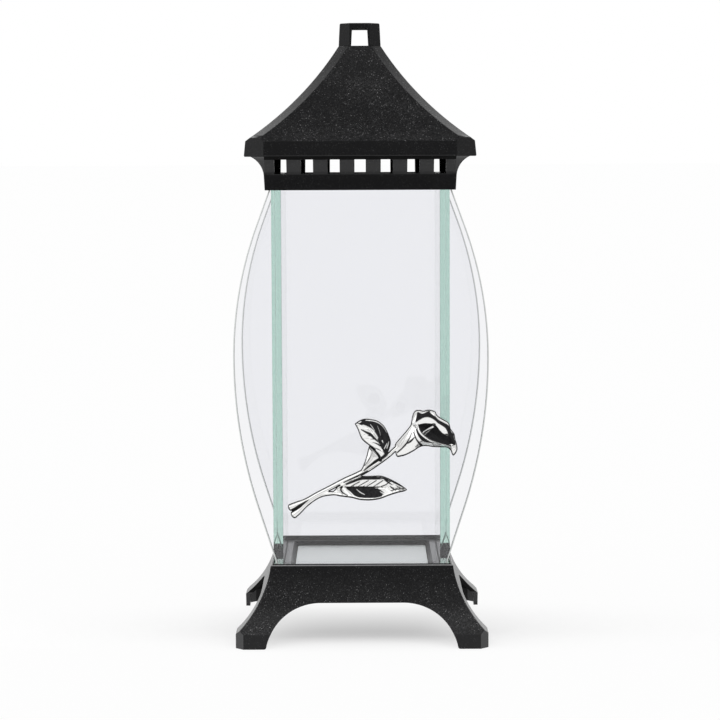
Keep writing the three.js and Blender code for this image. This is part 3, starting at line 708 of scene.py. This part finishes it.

# Dark and bright lines of the finish: points, half width at the start, middle and end, and tone
# Dark strokes are partly patina and partly painted shade; bright ones leave the polish bare
STROKE_SHARES = [
    # Stems
    ([(0.010, 0.063), (0.041, 0.090), (0.066, 0.115), (0.092, 0.145), (0.126, 0.180)],
     (1.0, 0.95, 0.15), DARK),
    ([(0.122, 0.176), (0.165, 0.217), (0.224, 0.262), (0.300, 0.315)], (0.1, 0.13, 0.16), SHADE),
    ([(0.431, 0.418), (0.478, 0.455), (0.531, 0.501), (0.578, 0.551)], (0.1, 0.16, 0.1), SHADE),
    ([(0.330, 0.335), (0.380, 0.372), (0.430, 0.408), (0.470, 0.440)], (0.3, 0.45, 0.3), DARK),
    ([(0.448, 0.441), (0.484, 0.487), (0.519, 0.528), (0.555, 0.560), (0.578, 0.590)],
     (0.2, 0.75, 0.9), DARK),
    # Sheath
    ([(0.490, 0.658), (0.516, 0.621), (0.537, 0.579), (0.546, 0.537)], (0.35, 0.6, 0.8), DARK),
    ([(0.476, 0.660), (0.488, 0.640), (0.498, 0.622)], (0.4, 0.35, 0.15), DARK),
    ([(0.452, 0.486), (0.472, 0.534), (0.490, 0.584), (0.500, 0.611)], (0.15, 0.25, 0.1), DARK),
    ([(0.462, 0.490), (0.492, 0.540), (0.508, 0.580)], (0.1, 0.14, 0.1), SHADE),
    # Upper leaf
    ([(0.404, 0.872), (0.420, 0.858), (0.434, 0.840)], (0.5, 0.9, 0.3), BRIGHT),
    ([(0.446, 0.852), (0.470, 0.835), (0.492, 0.814), (0.511, 0.782), (0.526, 0.747)],
     (0.9, 0.9, 0.5), BRIGHT),
    ([(0.433, 0.823), (0.458, 0.802), (0.485, 0.780), (0.502, 0.756), (0.530, 0.714)],
     (0.25, 0.8, 0.35), DARK),
    ([(0.470, 0.765), (0.492, 0.768)], (0.1, 0.25, 0.4), DARK),
    ([(0.488, 0.735), (0.512, 0.738)], (0.1, 0.25, 0.4), DARK),
    ([(0.501, 0.705), (0.521, 0.695), (0.543, 0.676)], (0.1, 0.3, 0.4), DARK),
    ([(0.510, 0.655), (0.531, 0.641), (0.552, 0.624)], (0.1, 0.28, 0.1), DARK),
    ([(0.461, 0.908), (0.502, 0.901), (0.538, 0.882), (0.566, 0.842), (0.584, 0.795)],
     (0.15, 0.3, 0.15), BRIGHT),
    ([(0.488, 0.869), (0.502, 0.837), (0.512, 0.808)], (0.08, 0.14, 0.08), BRIGHT),
    ([(0.529, 0.855), (0.540, 0.809), (0.546, 0.772)], (0.06, 0.1, 0.06), HALF_SHADE),
    ([(0.556, 0.722), (0.561, 0.701)], (0.2, 0.25, 0.1), BRIGHT),
    ([(0.568, 0.645), (0.577, 0.671), (0.584, 0.695)], (0.15, 0.25, 0.1), BRIGHT),
    ([(0.583, 0.648), (0.590, 0.680), (0.594, 0.708)], (0.12, 0.2, 0.1), BRIGHT),
    ([(0.417, 0.886), (0.432, 0.896)], (0.15, 0.25, 0.15), BRIGHT),
    # Lower leaf: dark top, veins, and the strokes towards its tip
    ([(0.345, 0.318), (0.377, 0.338), (0.413, 0.362), (0.454, 0.376), (0.513, 0.374), (0.566, 0.368),
      (0.604, 0.343)], (0.5, 1.0, 0.4), DARK),
    ([(0.601, 0.350), (0.642, 0.320), (0.690, 0.277)], (0.3, 0.35, 0.2), DARK),
    ([(0.545, 0.366), (0.578, 0.353), (0.601, 0.335)], (0.08, 0.14, 0.08), BRIGHT),
    ([(0.336, 0.291), (0.377, 0.287), (0.424, 0.288), (0.483, 0.286), (0.540, 0.285)],
     (0.3, 0.45, 0.2), DARK),
    ([(0.365, 0.290), (0.391, 0.314), (0.421, 0.338)], (0.15, 0.26, 0.25), DARK),
    ([(0.407, 0.290), (0.441, 0.321), (0.474, 0.350)], (0.15, 0.26, 0.25), DARK),
    ([(0.457, 0.288), (0.491, 0.321), (0.520, 0.350)], (0.15, 0.26, 0.25), DARK),
    ([(0.498, 0.288), (0.533, 0.322), (0.560, 0.350)], (0.15, 0.26, 0.25), DARK),
    ([(0.548, 0.292), (0.577, 0.311), (0.600, 0.340)], (0.3, 0.3, 0.25), DARK),
    ([(0.572, 0.357), (0.595, 0.329), (0.616, 0.308)], (0.5, 0.45, 0.15), DARK),
    ([(0.601, 0.297), (0.619, 0.274), (0.636, 0.255)], (0.2, 0.4, 0.15), DARK),
    ([(0.636, 0.303), (0.654, 0.285), (0.669, 0.266)], (0.15, 0.3, 0.15), DARK),
    ([(0.607, 0.254), (0.636, 0.266), (0.660, 0.270), (0.684, 0.276)], (0.25, 0.3, 0.3), DARK),
    ([(0.525, 0.274), (0.548, 0.253), (0.566, 0.236)], (0.3, 0.4, 0.1), DARK),
    ([(0.622, 0.330), (0.644, 0.316)], (0.15, 0.3, 0.15), DARK),
    ([(0.405, 0.268), (0.424, 0.243), (0.451, 0.221)], (0.12, 0.2, 0.12), BRIGHT),
    ([(0.262, 0.245), (0.292, 0.238), (0.325, 0.217), (0.365, 0.208)], (0.6, 1.4, 0.5), BRIGHT),
    ([(0.338, 0.268), (0.356, 0.243), (0.388, 0.208)], (0.6, 0.8, 0.3), BRIGHT),
    ([(0.262, 0.262), (0.285, 0.290), (0.305, 0.308)], (0.1, 0.45, 0.5), DARK),
    ([(0.318, 0.296), (0.311, 0.264), (0.326, 0.235), (0.352, 0.214)], (0.5, 0.4, 0.2), DARK),
    ([(0.272, 0.236), (0.300, 0.240), (0.322, 0.226)], (0.08, 0.14, 0.08), SHADE),
    ([(0.365, 0.201), (0.401, 0.188), (0.448, 0.182), (0.501, 0.182), (0.542, 0.194), (0.583, 0.214),
      (0.625, 0.237), (0.666, 0.252), (0.690, 0.260)], (0.2, 0.3, 0.2), BRIGHT),
    # Flower: cone
    ([(0.646, 0.609), (0.672, 0.647), (0.696, 0.690), (0.717, 0.744), (0.730, 0.795)],
     (0.35, 0.4, 0.15), DARK),
    ([(0.696, 0.688), (0.720, 0.712), (0.744, 0.752)], (0.15, 0.55, 0.25), DARK),
    ([(0.643, 0.647), (0.667, 0.712), (0.696, 0.767), (0.726, 0.826)], (0.08, 0.14, 0.08), SHADE),
    ([(0.661, 0.661), (0.684, 0.725), (0.714, 0.794)], (0.06, 0.1, 0.06), SHADE),
    ([(0.741, 0.800), (0.755, 0.741), (0.775, 0.697), (0.789, 0.671)], (0.25, 0.4, 0.8), DARK),
    # Flower: front lip, a dark wedge between two bright bands
    ([(0.757, 0.825), (0.770, 0.785), (0.790, 0.748), (0.816, 0.722), (0.855, 0.703)],
     (0.35, 1.05, 0.2), DARK),
    ([(0.742, 0.858), (0.749, 0.808), (0.761, 0.766), (0.784, 0.723), (0.814, 0.694), (0.855, 0.682),
      (0.902, 0.674), (0.937, 0.664)], (0.35, 0.42, 0.25), BRIGHT),
    ([(0.752, 0.866), (0.766, 0.832), (0.782, 0.793), (0.808, 0.758), (0.837, 0.727), (0.872, 0.707),
      (0.902, 0.691), (0.925, 0.680)], (0.42, 0.42, 0.25), BRIGHT),
    ([(0.787, 0.667), (0.825, 0.664), (0.896, 0.660), (0.937, 0.650), (0.957, 0.627), (0.968, 0.600)],
     (0.5, 0.35, 0.2), DARK),
    # Flower: left edge of the petal, and the glints on its rolled rim
    ([(0.753, 0.975), (0.747, 0.946), (0.743, 0.895)], (0.4, 0.42, 0.2), BRIGHT),
    ([(0.770, 0.984), (0.790, 0.973), (0.808, 0.977)], (0.12, 0.25, 0.12), BRIGHT),
    ([(0.841, 0.982), (0.852, 0.967), (0.863, 0.951)], (0.3, 0.35, 0.2), BRIGHT),
    ([(0.875, 0.935), (0.890, 0.915), (0.912, 0.897), (0.932, 0.881), (0.947, 0.862)],
     (0.15, 0.3, 0.15), BRIGHT),
    ([(0.956, 0.839), (0.968, 0.808), (0.980, 0.775), (0.981, 0.745), (0.989, 0.712), (0.996, 0.668)],
     (0.2, 0.25, 0.3), RIM_GREY),
]
# Spadix, painted after the throat
SPADIX_STROKE_SHARES = [
    ([(0.794, 0.797), (0.823, 0.826), (0.853, 0.850)], (0.22, 0.2, 0.4), BRIGHT),
    ([(0.806, 0.782), (0.828, 0.805), (0.848, 0.829)], (0.18, 0.16, 0.12), BRIGHT),
]


def placed(shares):
    """Points given as shares of the casting's span and rise, in millimetres."""
    return np.array(shares, float) * (LILY_SPAN, LILY_RISE) + (LILY_LEFT, LILY_FOOT)


def closed(loop):
    """An outline with its first point again at its end."""
    return np.vstack([loop, loop[:1]])


def smooth_line(shares, step, ring=False):
    """Points at even steps along a smooth line through the given ones."""
    given = placed(shares)
    if ring:
        knots = np.vstack([given[-1:], given, given[:2]])
    else:
        knots = np.vstack([2 * given[0] - given[1], given, 2 * given[-1] - given[-2]])
    t = np.linspace(0, 1, CURVE_STEPS, endpoint=False)[:, None]
    pieces = []
    for before, start, end, after in zip(knots, knots[1:], knots[2:], knots[3:]):
        bend = 2 * before - 5 * start + 4 * end - after
        twist = 3 * start - before - 3 * end + after
        pieces.append(0.5 * (2 * start + (end - before) * t + bend * t**2 + twist * t**3))
    dense = np.vstack([*pieces, given[:1] if ring else given[-1:]])
    reach = np.concatenate([[0], np.cumsum(np.linalg.norm(np.diff(dense, axis=0), axis=1))])
    count = max(2, round(reach[-1] / step))
    places = np.linspace(0, reach[-1], count + 1)
    return np.column_stack([np.interp(places, reach, dense[:, axis]) for axis in (0, 1)])


def nearest(points, line):
    """Distance of each point from a line, the share of the line passed there, and the side it lies on."""
    step = np.diff(line, axis=0)
    length = np.linalg.norm(step, axis=1)
    gap = points[:, None] - line[None, :-1]
    along = np.clip((gap * step).sum(2) / length**2, 0, 1)
    off = gap - along[..., None] * step
    distance = np.linalg.norm(off, axis=2)
    pick = distance.argmin(1)
    row = np.arange(len(points))
    passed = np.concatenate([[0], np.cumsum(length)])
    share = (passed[pick] + along[row, pick] * length[pick]) / passed[-1]
    side = np.sign(step[pick, 0] * off[row, pick, 1] - step[pick, 1] * off[row, pick, 0])
    return distance[row, pick], share, side


def inside(points, loop):
    """Whether each point lies inside a closed outline."""
    x, z = points[:, 0, None], points[:, 1, None]
    x0, z0 = loop[:, 0], loop[:, 1]
    x1, z1 = np.roll(x0, -1), np.roll(z0, -1)
    rise = np.where(z1 == z0, TINY, z1 - z0)
    crosses = ((z0 > z) != (z1 > z)) & (x < x0 + (z - z0) * (x1 - x0) / rise)
    return crosses.sum(1) % 2 == 1


def covered(points, outlines):
    """Whether each point lies inside one of the outlines."""
    found = np.zeros(len(points), bool)
    for loop in outlines:
        near = np.flatnonzero(((points >= loop.min(0)) & (points <= loop.max(0))).all(1))
        found[near] |= inside(points[near], loop)
    return found


def along_heights(share, pairs):
    """Height at a share of a line, between the given pairs."""
    return np.interp(share, *zip(*pairs))


def ridge(distance, height, width, place):
    """Height of a rounded ridge that runs at a distance from a line."""
    return height * np.exp(-((distance - place) / width) ** 2)


def crown(across):
    """Share of its full height that a rounded leaf has on the way from its rib to its edge."""
    return np.cos(np.clip(np.abs(across), 0, 1) * math.pi / 2)


def stem_half(share, radii):
    """Half width at a share of a stem, between its evenly spaced radii."""
    return np.interp(share, np.linspace(0, 1, len(radii)), radii)


def stem_outline(line, radii):
    """Outline of a stem: both sides of its middle line and a round start."""
    way = np.gradient(line, axis=0)
    way /= np.linalg.norm(way, axis=1)[:, None]
    across = np.column_stack([-way[:, 1], way[:, 0]])
    half = stem_half(np.linspace(0, 1, len(line)), radii)[:, None]
    cap = []
    for turn in np.linspace(math.pi / 2, 3 * math.pi / 2, STEM_END_STEPS + 1)[1:-1]:
        reach = STEM_END_SHARE * math.cos(turn) * way[0] + math.sin(turn) * across[0]
        cap.append(line[0] + radii[0] * reach)
    return np.vstack([(line - across * half)[::-1], np.array(cap)[::-1], line + across * half])


def stem_surface(points, line, radii):
    """A round stem."""
    distance, share, _ = nearest(points, line)
    round_height = np.sqrt(np.clip(stem_half(share, radii) ** 2 - distance**2, 0, None))
    return STEM_CENTRE + STEM_CROWN_SHARE * round_height, np.full(len(points), STEM_TONE)


def web_surface(points):
    """The flat dark web in the stems' fork."""
    return np.full(len(points), WEB_HEIGHT), np.full(len(points), DARK)


def leaf_places(points, rib, outline):
    """Share of the rib passed, signed share of the way from the rib to the edge, and distance from it."""
    from_rib, share, side = nearest(points, rib)
    from_edge = nearest(points, closed(outline))[0]
    return share, side * from_rib / np.maximum(from_rib + from_edge, TINY), from_edge


def vein_grooves(share, across, slant):
    """Depth share of side veins that run from the rib towards the tip."""
    phase = (share - slant * np.abs(across)) * VEINS
    wave = np.abs(phase - np.round(phase)) / VEINS
    return np.exp(-(wave / VEIN_WIDTH_SHARE) ** 2) * np.clip(VEIN_REACH_SHARE - np.abs(across), 0, 1)


def low_leaf_surface(points, rib, outline):
    """A cupped leaf, seen from its upper side."""
    share, across, from_edge = leaf_places(points, rib, outline)
    along = np.interp(share, (0, 1), LOW_LEAF_ENDS_SHARES)
    cup = np.abs(across) ** LOW_LEAF_POWER * np.sin(math.pi * along) ** LOW_LEAF_ENDS_POWER
    height = LEAF_FLOOR + LOW_LEAF_CUP * cup + ridge(from_edge, *LOW_LEAF_RIM)
    height -= LOW_LEAF_VEIN * vein_grooves(share, across, LOW_LEAF_SLANT_SHARE)
    height -= ridge(across, *LOW_LEAF_GROOVE) + LOW_LEAF_FALL * np.exp(-from_edge / LOW_LEAF_REACH)
    return height, np.full(len(points), CUP_TONE)


def up_leaf_surface(points, rib, outline):
    """A bulging leaf, with painted shade on one side of its rib."""
    share, across, from_edge = leaf_places(points, rib, outline)
    height = LEAF_FLOOR + UP_LEAF_CROWN * crown(across) ** UP_LEAF_POWER + ridge(from_edge, *UP_LEAF_RIM)
    height -= UP_LEAF_VEIN * vein_grooves(share, across, UP_LEAF_SLANT_SHARE)
    return height - ridge(across, *UP_LEAF_GROOVE), np.where(across < 0, DARK, UP_LEAF_TONE)


def sheath_surface(points, rib, outline):
    """The bulging sheath from which the upper leaf grows."""
    across = leaf_places(points, rib, outline)[1]
    return SHEATH_FLOOR + SHEATH_CROWN * crown(across), np.full(len(points), SHEATH_TONE)


def flower_surface(points, lines):
    """The flower: a cone with a rolled lip in front, a petal behind, and the throat with its spadix."""
    outline, lip, back, crest, spadix = lines
    from_out, out_share, _ = nearest(points, closed(outline))
    from_lip, lip_share, _ = nearest(points, lip)
    from_crest, crest_share, _ = nearest(points, crest)
    from_back = nearest(points, back)[0]
    edge = along_heights(out_share, FLOWER_EDGE_HEIGHTS)
    lip_height = along_heights(lip_share, LIP_HEIGHTS)
    crest_height = along_heights(crest_share, CREST_HEIGHTS)

    # Cone below the lip, with a fold beside the roll
    climb = from_out / np.maximum(from_out + from_lip, TINY)
    cone = edge + (lip_height - edge) * np.sin(climb * math.pi / 2) ** CONE_POWER
    cone += ridge(from_lip, *LIP_ROLL)
    cone -= ridge(from_lip, *CONE_FOLD) * np.clip(lip_share * CONE_FOLD_ONSET, 0, 1)

    # Petal, from its rolled edge up to its crest
    climb = from_out / np.maximum(from_out + from_crest, TINY)
    petal = edge + (crest_height - edge) * climb**PETAL_POWER + ridge(from_out, *PETAL_ROLL)
    weight = from_lip**3 / (from_lip**3 + from_crest**3 + TINY)
    height = petal * weight + cone * (1 - weight)

    # Band between the crest and the throat, and the throat's pocket
    band = inside(points, np.vstack([crest, back[::-1]]))
    fall = from_crest / np.maximum(from_crest + from_back, TINY)
    height = np.where(band, crest_height - CREST_FALL * fall, height)
    throat = inside(points, np.vstack([lip, back[::-1]]))
    rim_height = np.where(from_lip < from_back, lip_height, crest_height - CREST_FALL)
    from_rim = np.minimum(from_lip, from_back)
    pocket = THROAT_FLOOR + (rim_height - THROAT_FLOOR) * np.exp(-from_rim / THROAT_REACH)
    height = np.where(throat, pocket, height)

    # Spadix
    from_spadix, spadix_share, _ = nearest(points, spadix)
    rod = np.sqrt(np.clip(SPADIX_RADIUS**2 - from_spadix**2, 0, None))
    rod += along_heights(spadix_share, SPADIX_HEIGHTS)
    on_spadix = throat & (from_spadix < SPADIX_RADIUS)
    height = np.where(on_spadix, np.maximum(rod, height), height)
    return height, np.where(throat, DARK, CUP_TONE)


def lily_shapes():
    """Outline of each part of the casting, with what gives the heights and tones of its surface."""

    def even(shares):
        return smooth_line(shares, LILY_STEP)

    def stem(shares, radii):
        line = even(shares)
        return stem_outline(line, radii), lambda points: stem_surface(points, line, radii)

    def leaf(first_edge, second_edge, rib, surface):
        outline = np.vstack([even(first_edge), even(second_edge)[::-1]])
        line = even(rib)
        return outline, lambda points: surface(points, line, outline)

    flower = smooth_line(FLOWER_SHARES, LILY_STEP, ring=True)[:-1]
    lines = [flower, even(LIP_SHARES), even(THROAT_SHARES), even(CREST_SHARES), even(SPADIX_SHARES)]
    return [
        stem(STEM_MAIN_SHARES, STEM_MAIN_RADII),
        stem(STEM_SIDE_SHARES, STEM_SIDE_RADII),
        (placed(FORK_WEB_SHARES), web_surface),
        leaf(LOW_UPPER_SHARES, LOW_LOWER_SHARES, LOW_RIB_SHARES, low_leaf_surface),
        leaf(UP_OUTER_SHARES, UP_INNER_SHARES, UP_RIB_SHARES, up_leaf_surface),
        leaf(SHEATH_OUTER_SHARES, SHEATH_INNER_SHARES, SHEATH_RIB_SHARES, sheath_surface),
        (flower, lambda points: flower_surface(points, lines)),
    ]


def lily_net(outlines):
    """Flat net of even triangles that fills the outlines and follows them."""
    columns = np.arange(LILY_LEFT - LILY_MARGIN, LILY_LEFT + LILY_SPAN + LILY_MARGIN, LILY_GRAIN)
    row_gap = LILY_GRAIN * LILY_ROW_SHARE
    rows = np.arange(LILY_FOOT - LILY_MARGIN, LILY_FOOT + LILY_RISE + LILY_MARGIN, row_gap)
    grid = np.array([(x + LILY_GRAIN / 2 * (row % 2), z) for row, z in enumerate(rows) for x in columns])
    grid = grid[covered(grid, outlines)]
    clear = np.ones(len(grid), bool)
    for loop in outlines:
        clear &= nearest(grid, closed(loop))[0] > LILY_CLEAR_SHARE * LILY_GRAIN

    corners, loops = [], []
    for loop in outlines:
        loops.append(list(range(len(corners), len(corners) + len(loop))))
        corners.extend(map(tuple, loop))
    corners.extend(map(tuple, grid[clear]))
    net = delaunay_2d_cdt([Vector(corner) for corner in corners], [], loops, 0, LILY_WELD, False)
    flat = np.array([tuple(point) for point in net[0]])
    triangles = np.array(net[2])
    triangles = triangles[covered(flat[triangles].mean(1), outlines)]
    used, places = np.unique(triangles, return_inverse=True)
    return flat[used], places.reshape(triangles.shape)


def rim_edges(triangles):
    """Edges that belong to one triangle only."""
    sides = np.vstack([triangles[:, [0, 1]], triangles[:, [1, 2]], triangles[:, [2, 0]]])
    edges, times = np.unique(np.sort(sides, axis=1), axis=0, return_counts=True)
    return edges[times == 1]


def rim_gap(flat, rim):
    """Distance of each point from the rim, and how squarely below it the nearest stretch lies, 0 to 1."""
    middle = flat[rim].mean(1)
    gap = np.zeros(len(flat))
    under = np.zeros(len(flat))
    for start in range(0, len(flat), LILY_BATCH):
        part = slice(start, start + LILY_BATCH)
        off = middle[None] - flat[part, None]
        distance = np.linalg.norm(off, axis=2)
        pick = distance.argmin(1)
        row = np.arange(len(pick))
        gap[part] = distance[row, pick]
        under[part] = 0.5 - 0.5 * off[row, pick, 1] / np.maximum(gap[part], TINY)
    return gap, under


def raise_net(flat, shapes):
    """Height and tone of each point of the net, from the tallest surface over it."""
    height = np.full(len(flat), NET_FLOOR)
    tone = np.full(len(flat), DARK)
    for outline, surface in shapes:
        on_edge = nearest(flat, closed(outline))[0] < LILY_EDGE_REACH
        own = np.flatnonzero(inside(flat, outline) | on_edge)
        high, shade = surface(flat[own])
        taller = high > height[own]
        height[own[taller]] = high[taller]
        tone[own[taller]] = shade[taller]
    return height, tone


def fill_fields(tone, points, fields):
    """Lays an even tone inside each field's outline."""
    for shares, value in fields:
        loop = smooth_line(shares, STROKE_STEP, ring=True)
        reach = nearest(points, loop)[0] * np.where(inside(points, loop[:-1]), 1, -1)
        tone += (value - tone) * np.clip(reach / SOFT_EDGE + 0.5, 0, 1)
    return tone


def paint_strokes(tone, points, strokes):
    """Lays a tone along each stroke, as wide as the stroke says."""
    for shares, widths, value in strokes:
        distance, share, _ = nearest(points, smooth_line(shares, STROKE_STEP))
        half = np.interp(share, (0, 0.5, 1), widths)
        tone += (value - tone) * np.clip((half - distance) / SOFT_EDGE + 0.5, 0, 1)
    return tone


def paint_patina_and_shade(flat, tone, gap, under):
    """Tone of each point: its surface's own, then fields, strokes, the dark rim line and the spadix."""
    tone = paint_strokes(fill_fields(tone, flat, FIELD_SHARES), flat, STROKE_SHARES)
    # Dark rim line, partly patina and partly painted shade, wider on the casting's lower edges
    outline = LILY_OUTLINE + (LILY_UNDERLINE - LILY_OUTLINE) * under**2
    tone = np.maximum(tone, np.clip((outline - gap) / SOFT_EDGE, 0, 1))
    return paint_strokes(tone, flat, SPADIX_STROKE_SHARES)


def relief_mesh(flat, triangles, rim, height):
    """Watertight relief: the raised net, a wall round its rim and a flat back."""
    work = bmesh.new()
    top = [work.verts.new((x * MM, LILY_BACK - rise * MM, z * MM)) for (x, z), rise in zip(flat, height)]
    for triangle in triangles:
        work.faces.new([top[point] for point in triangle])
    foot = {}
    for point in np.unique(rim):
        x, z = flat[point]
        foot[point] = work.verts.new((x * MM, LILY_BACK, z * MM))
    for start, end in rim:
        work.faces.new((top[start], top[end], foot[end], foot[start]))
    base = [edge for edge in work.edges if edge.is_boundary]
    bmesh.ops.triangle_fill(work, edges=base, use_beauty=True)
    bmesh.ops.recalc_face_normals(work, faces=work.faces)
    mesh = bpy.data.meshes.new("calla_relief")
    work.to_mesh(mesh)
    work.free()
    return mesh


def make_lily(material):
    """The casting as one relief, whose polish, patina and painted shade are a tone on every point."""
    shapes = lily_shapes()
    flat, triangles = lily_net([outline for outline, _ in shapes])
    rim = rim_edges(triangles)
    gap, under = rim_gap(flat, rim)
    height, tone = raise_net(flat, shapes)
    tone = paint_patina_and_shade(flat, tone, gap, under)
    mesh = relief_mesh(flat, triangles, rim, height - RIM_FALL * np.exp(-gap / RIM_REACH))

    patina_and_shade = np.full(len(mesh.vertices), BACK_TONE)
    patina_and_shade[:len(tone)] = tone
    layer = mesh.color_attributes.new("tone", "FLOAT_COLOR", "POINT")
    layer.data.foreach_set("color", np.repeat(patina_and_shade, 4).astype(np.float32))
    mesh.materials.append(material)
    mesh.shade_smooth()
    mesh.set_sharp_from_angle(angle=RELIEF_ANGLE)
    dress(add_piece("calla_lily_relief", mesh), "calla_lily", "lantern")


def make_stage():
    """White ground, whose glow drops under the lantern as painted shade, so that the shade gathers there.
    """
    tree = new_finish("ground")
    depth = tree.parts(tree.place())["Y"]
    front = tree.spread(depth, *SHADE_FRONT, SHADE_LEAST_SHARE, 1.0)
    rear = tree.spread(depth, *SHADE_REAR, 1.0, SHADE_LEAST_SHARE)
    # Painted shade: a pool under the lantern where the glow drops
    painted_shade_pool = tree.product(front, rear)
    lit = tree.add("BsdfDiffuse", {"Color": tree.mix(painted_shade_pool, BLACK, GROUND_LIT)})
    strength = tree.spread(painted_shade_pool, 0.0, 1.0, GROUND_WHITE, GROUND_GLOW)
    glow = tree.add("Emission", {"Color": WHITE, "Strength": strength})
    both = tree.add("AddShader", {0: lit.outputs[0], 1: glow.outputs[0]})

    corners = [(-GROUND_HALF, -GROUND_FRONT, 0), (GROUND_HALF, -GROUND_FRONT, 0),
               (GROUND_HALF, GROUND_HALF, 0), (-GROUND_HALF, GROUND_HALF, 0)]
    mesh = bpy.data.meshes.new("ground")
    mesh.from_pydata(corners, [], [(0, 1, 2, 3)])
    mesh.materials.append(tree.finish(both))
    floor = add_piece("ground", mesh)


def make_world():
    """White all round to the camera; the object is lit by a tent, dark in front and overhead."""
    world = bpy.data.worlds.new("tent")
    bpy.context.scene.world = world
    tree = Nodes(world, "OutputWorld")
    way = tree.parts(tree.add("TexCoord").outputs["Generated"])

    def light(axis, ends):
        return tree.spread(way[axis], *ends, "SMOOTHSTEP")

    sides = tree.product(light("Y", TENT_SIDES), light("Z", TENT_TOP))
    front = tree.product(light("Y", TENT_FRONT), light("Z", TENT_FRONT_RISE))
    inward = tree.math("ADD", tree.math("MAXIMUM", sides, front), light("X", TENT_WINDOW))
    tent = tree.add("Background", {"Color": inward})
    white = tree.add("Background", {"Color": WHITE})

    # The camera sees plain white, also through the panes
    rays = tree.add("LightPath").outputs
    seen = tree.math("MAXIMUM", rays["Is Camera Ray"], rays["Is Transmission Ray"])
    tree.finish(tree.blend(seen, tent, white))


make_camera()
make_world()
make_stage()

coat = black_coat()
underside = bare_inside()
seal = black_seal()
adhesive = pale_adhesive()
rim_edge = clear_glass("rim_edge", RIM_TINT_SHARES, RIM_ROUGHNESS)
broad_finishes = (clear_glass("pane_glass", PANE_TINT_SHARES), rim_edge, ground_arris())
side_finishes = (clear_glass("side_pane_glass", SIDE_TINT_SHARES), cut_edge())

rounded_piece("base", coat, "lantern", CASTING_EDGE, underside)
rounded_piece("vent_collar", coat, "lantern", COLLAR_EDGE, underside, COLLAR_UNDERSIDE_DROP)
rounded_piece("roof", coat, "roof_lid", CASTING_EDGE, underside)
rounded_piece("chimney", coat, "roof_lid", CHIMNEY_EDGE, underside)
rounded_piece("floor_plate", satin_metal(), "lantern", PLATE_EDGE)
foot_seal = rounded_piece("glass_foot_seal", seal, "lantern", SEAL_EDGE)
press_up(foot_seal, RIM_HEIGHT + SEAL_BEAD)
rounded_piece("glass_head_seal", seal, "lantern", SEAL_EDGE)
make_lily(polished_silver())
for pad in ("lower_leaf_pad", "upper_leaf_pad", "flower_pad"):
    rounded_piece(pad, adhesive, "lantern", PAD_EDGE)
for pane in ("front_pane", "rear_pane"):
    glass_piece(pane, broad_finishes, DEPTH_AXIS, BROAD_ARRIS)
for pane in ("left_pane", "right_pane"):
    glass_piece(pane, side_finishes, WIDTH_AXIS, SIDE_ARRIS, SIDE_GAP)

bpy.context.scene.view_settings.view_transform = "Standard"
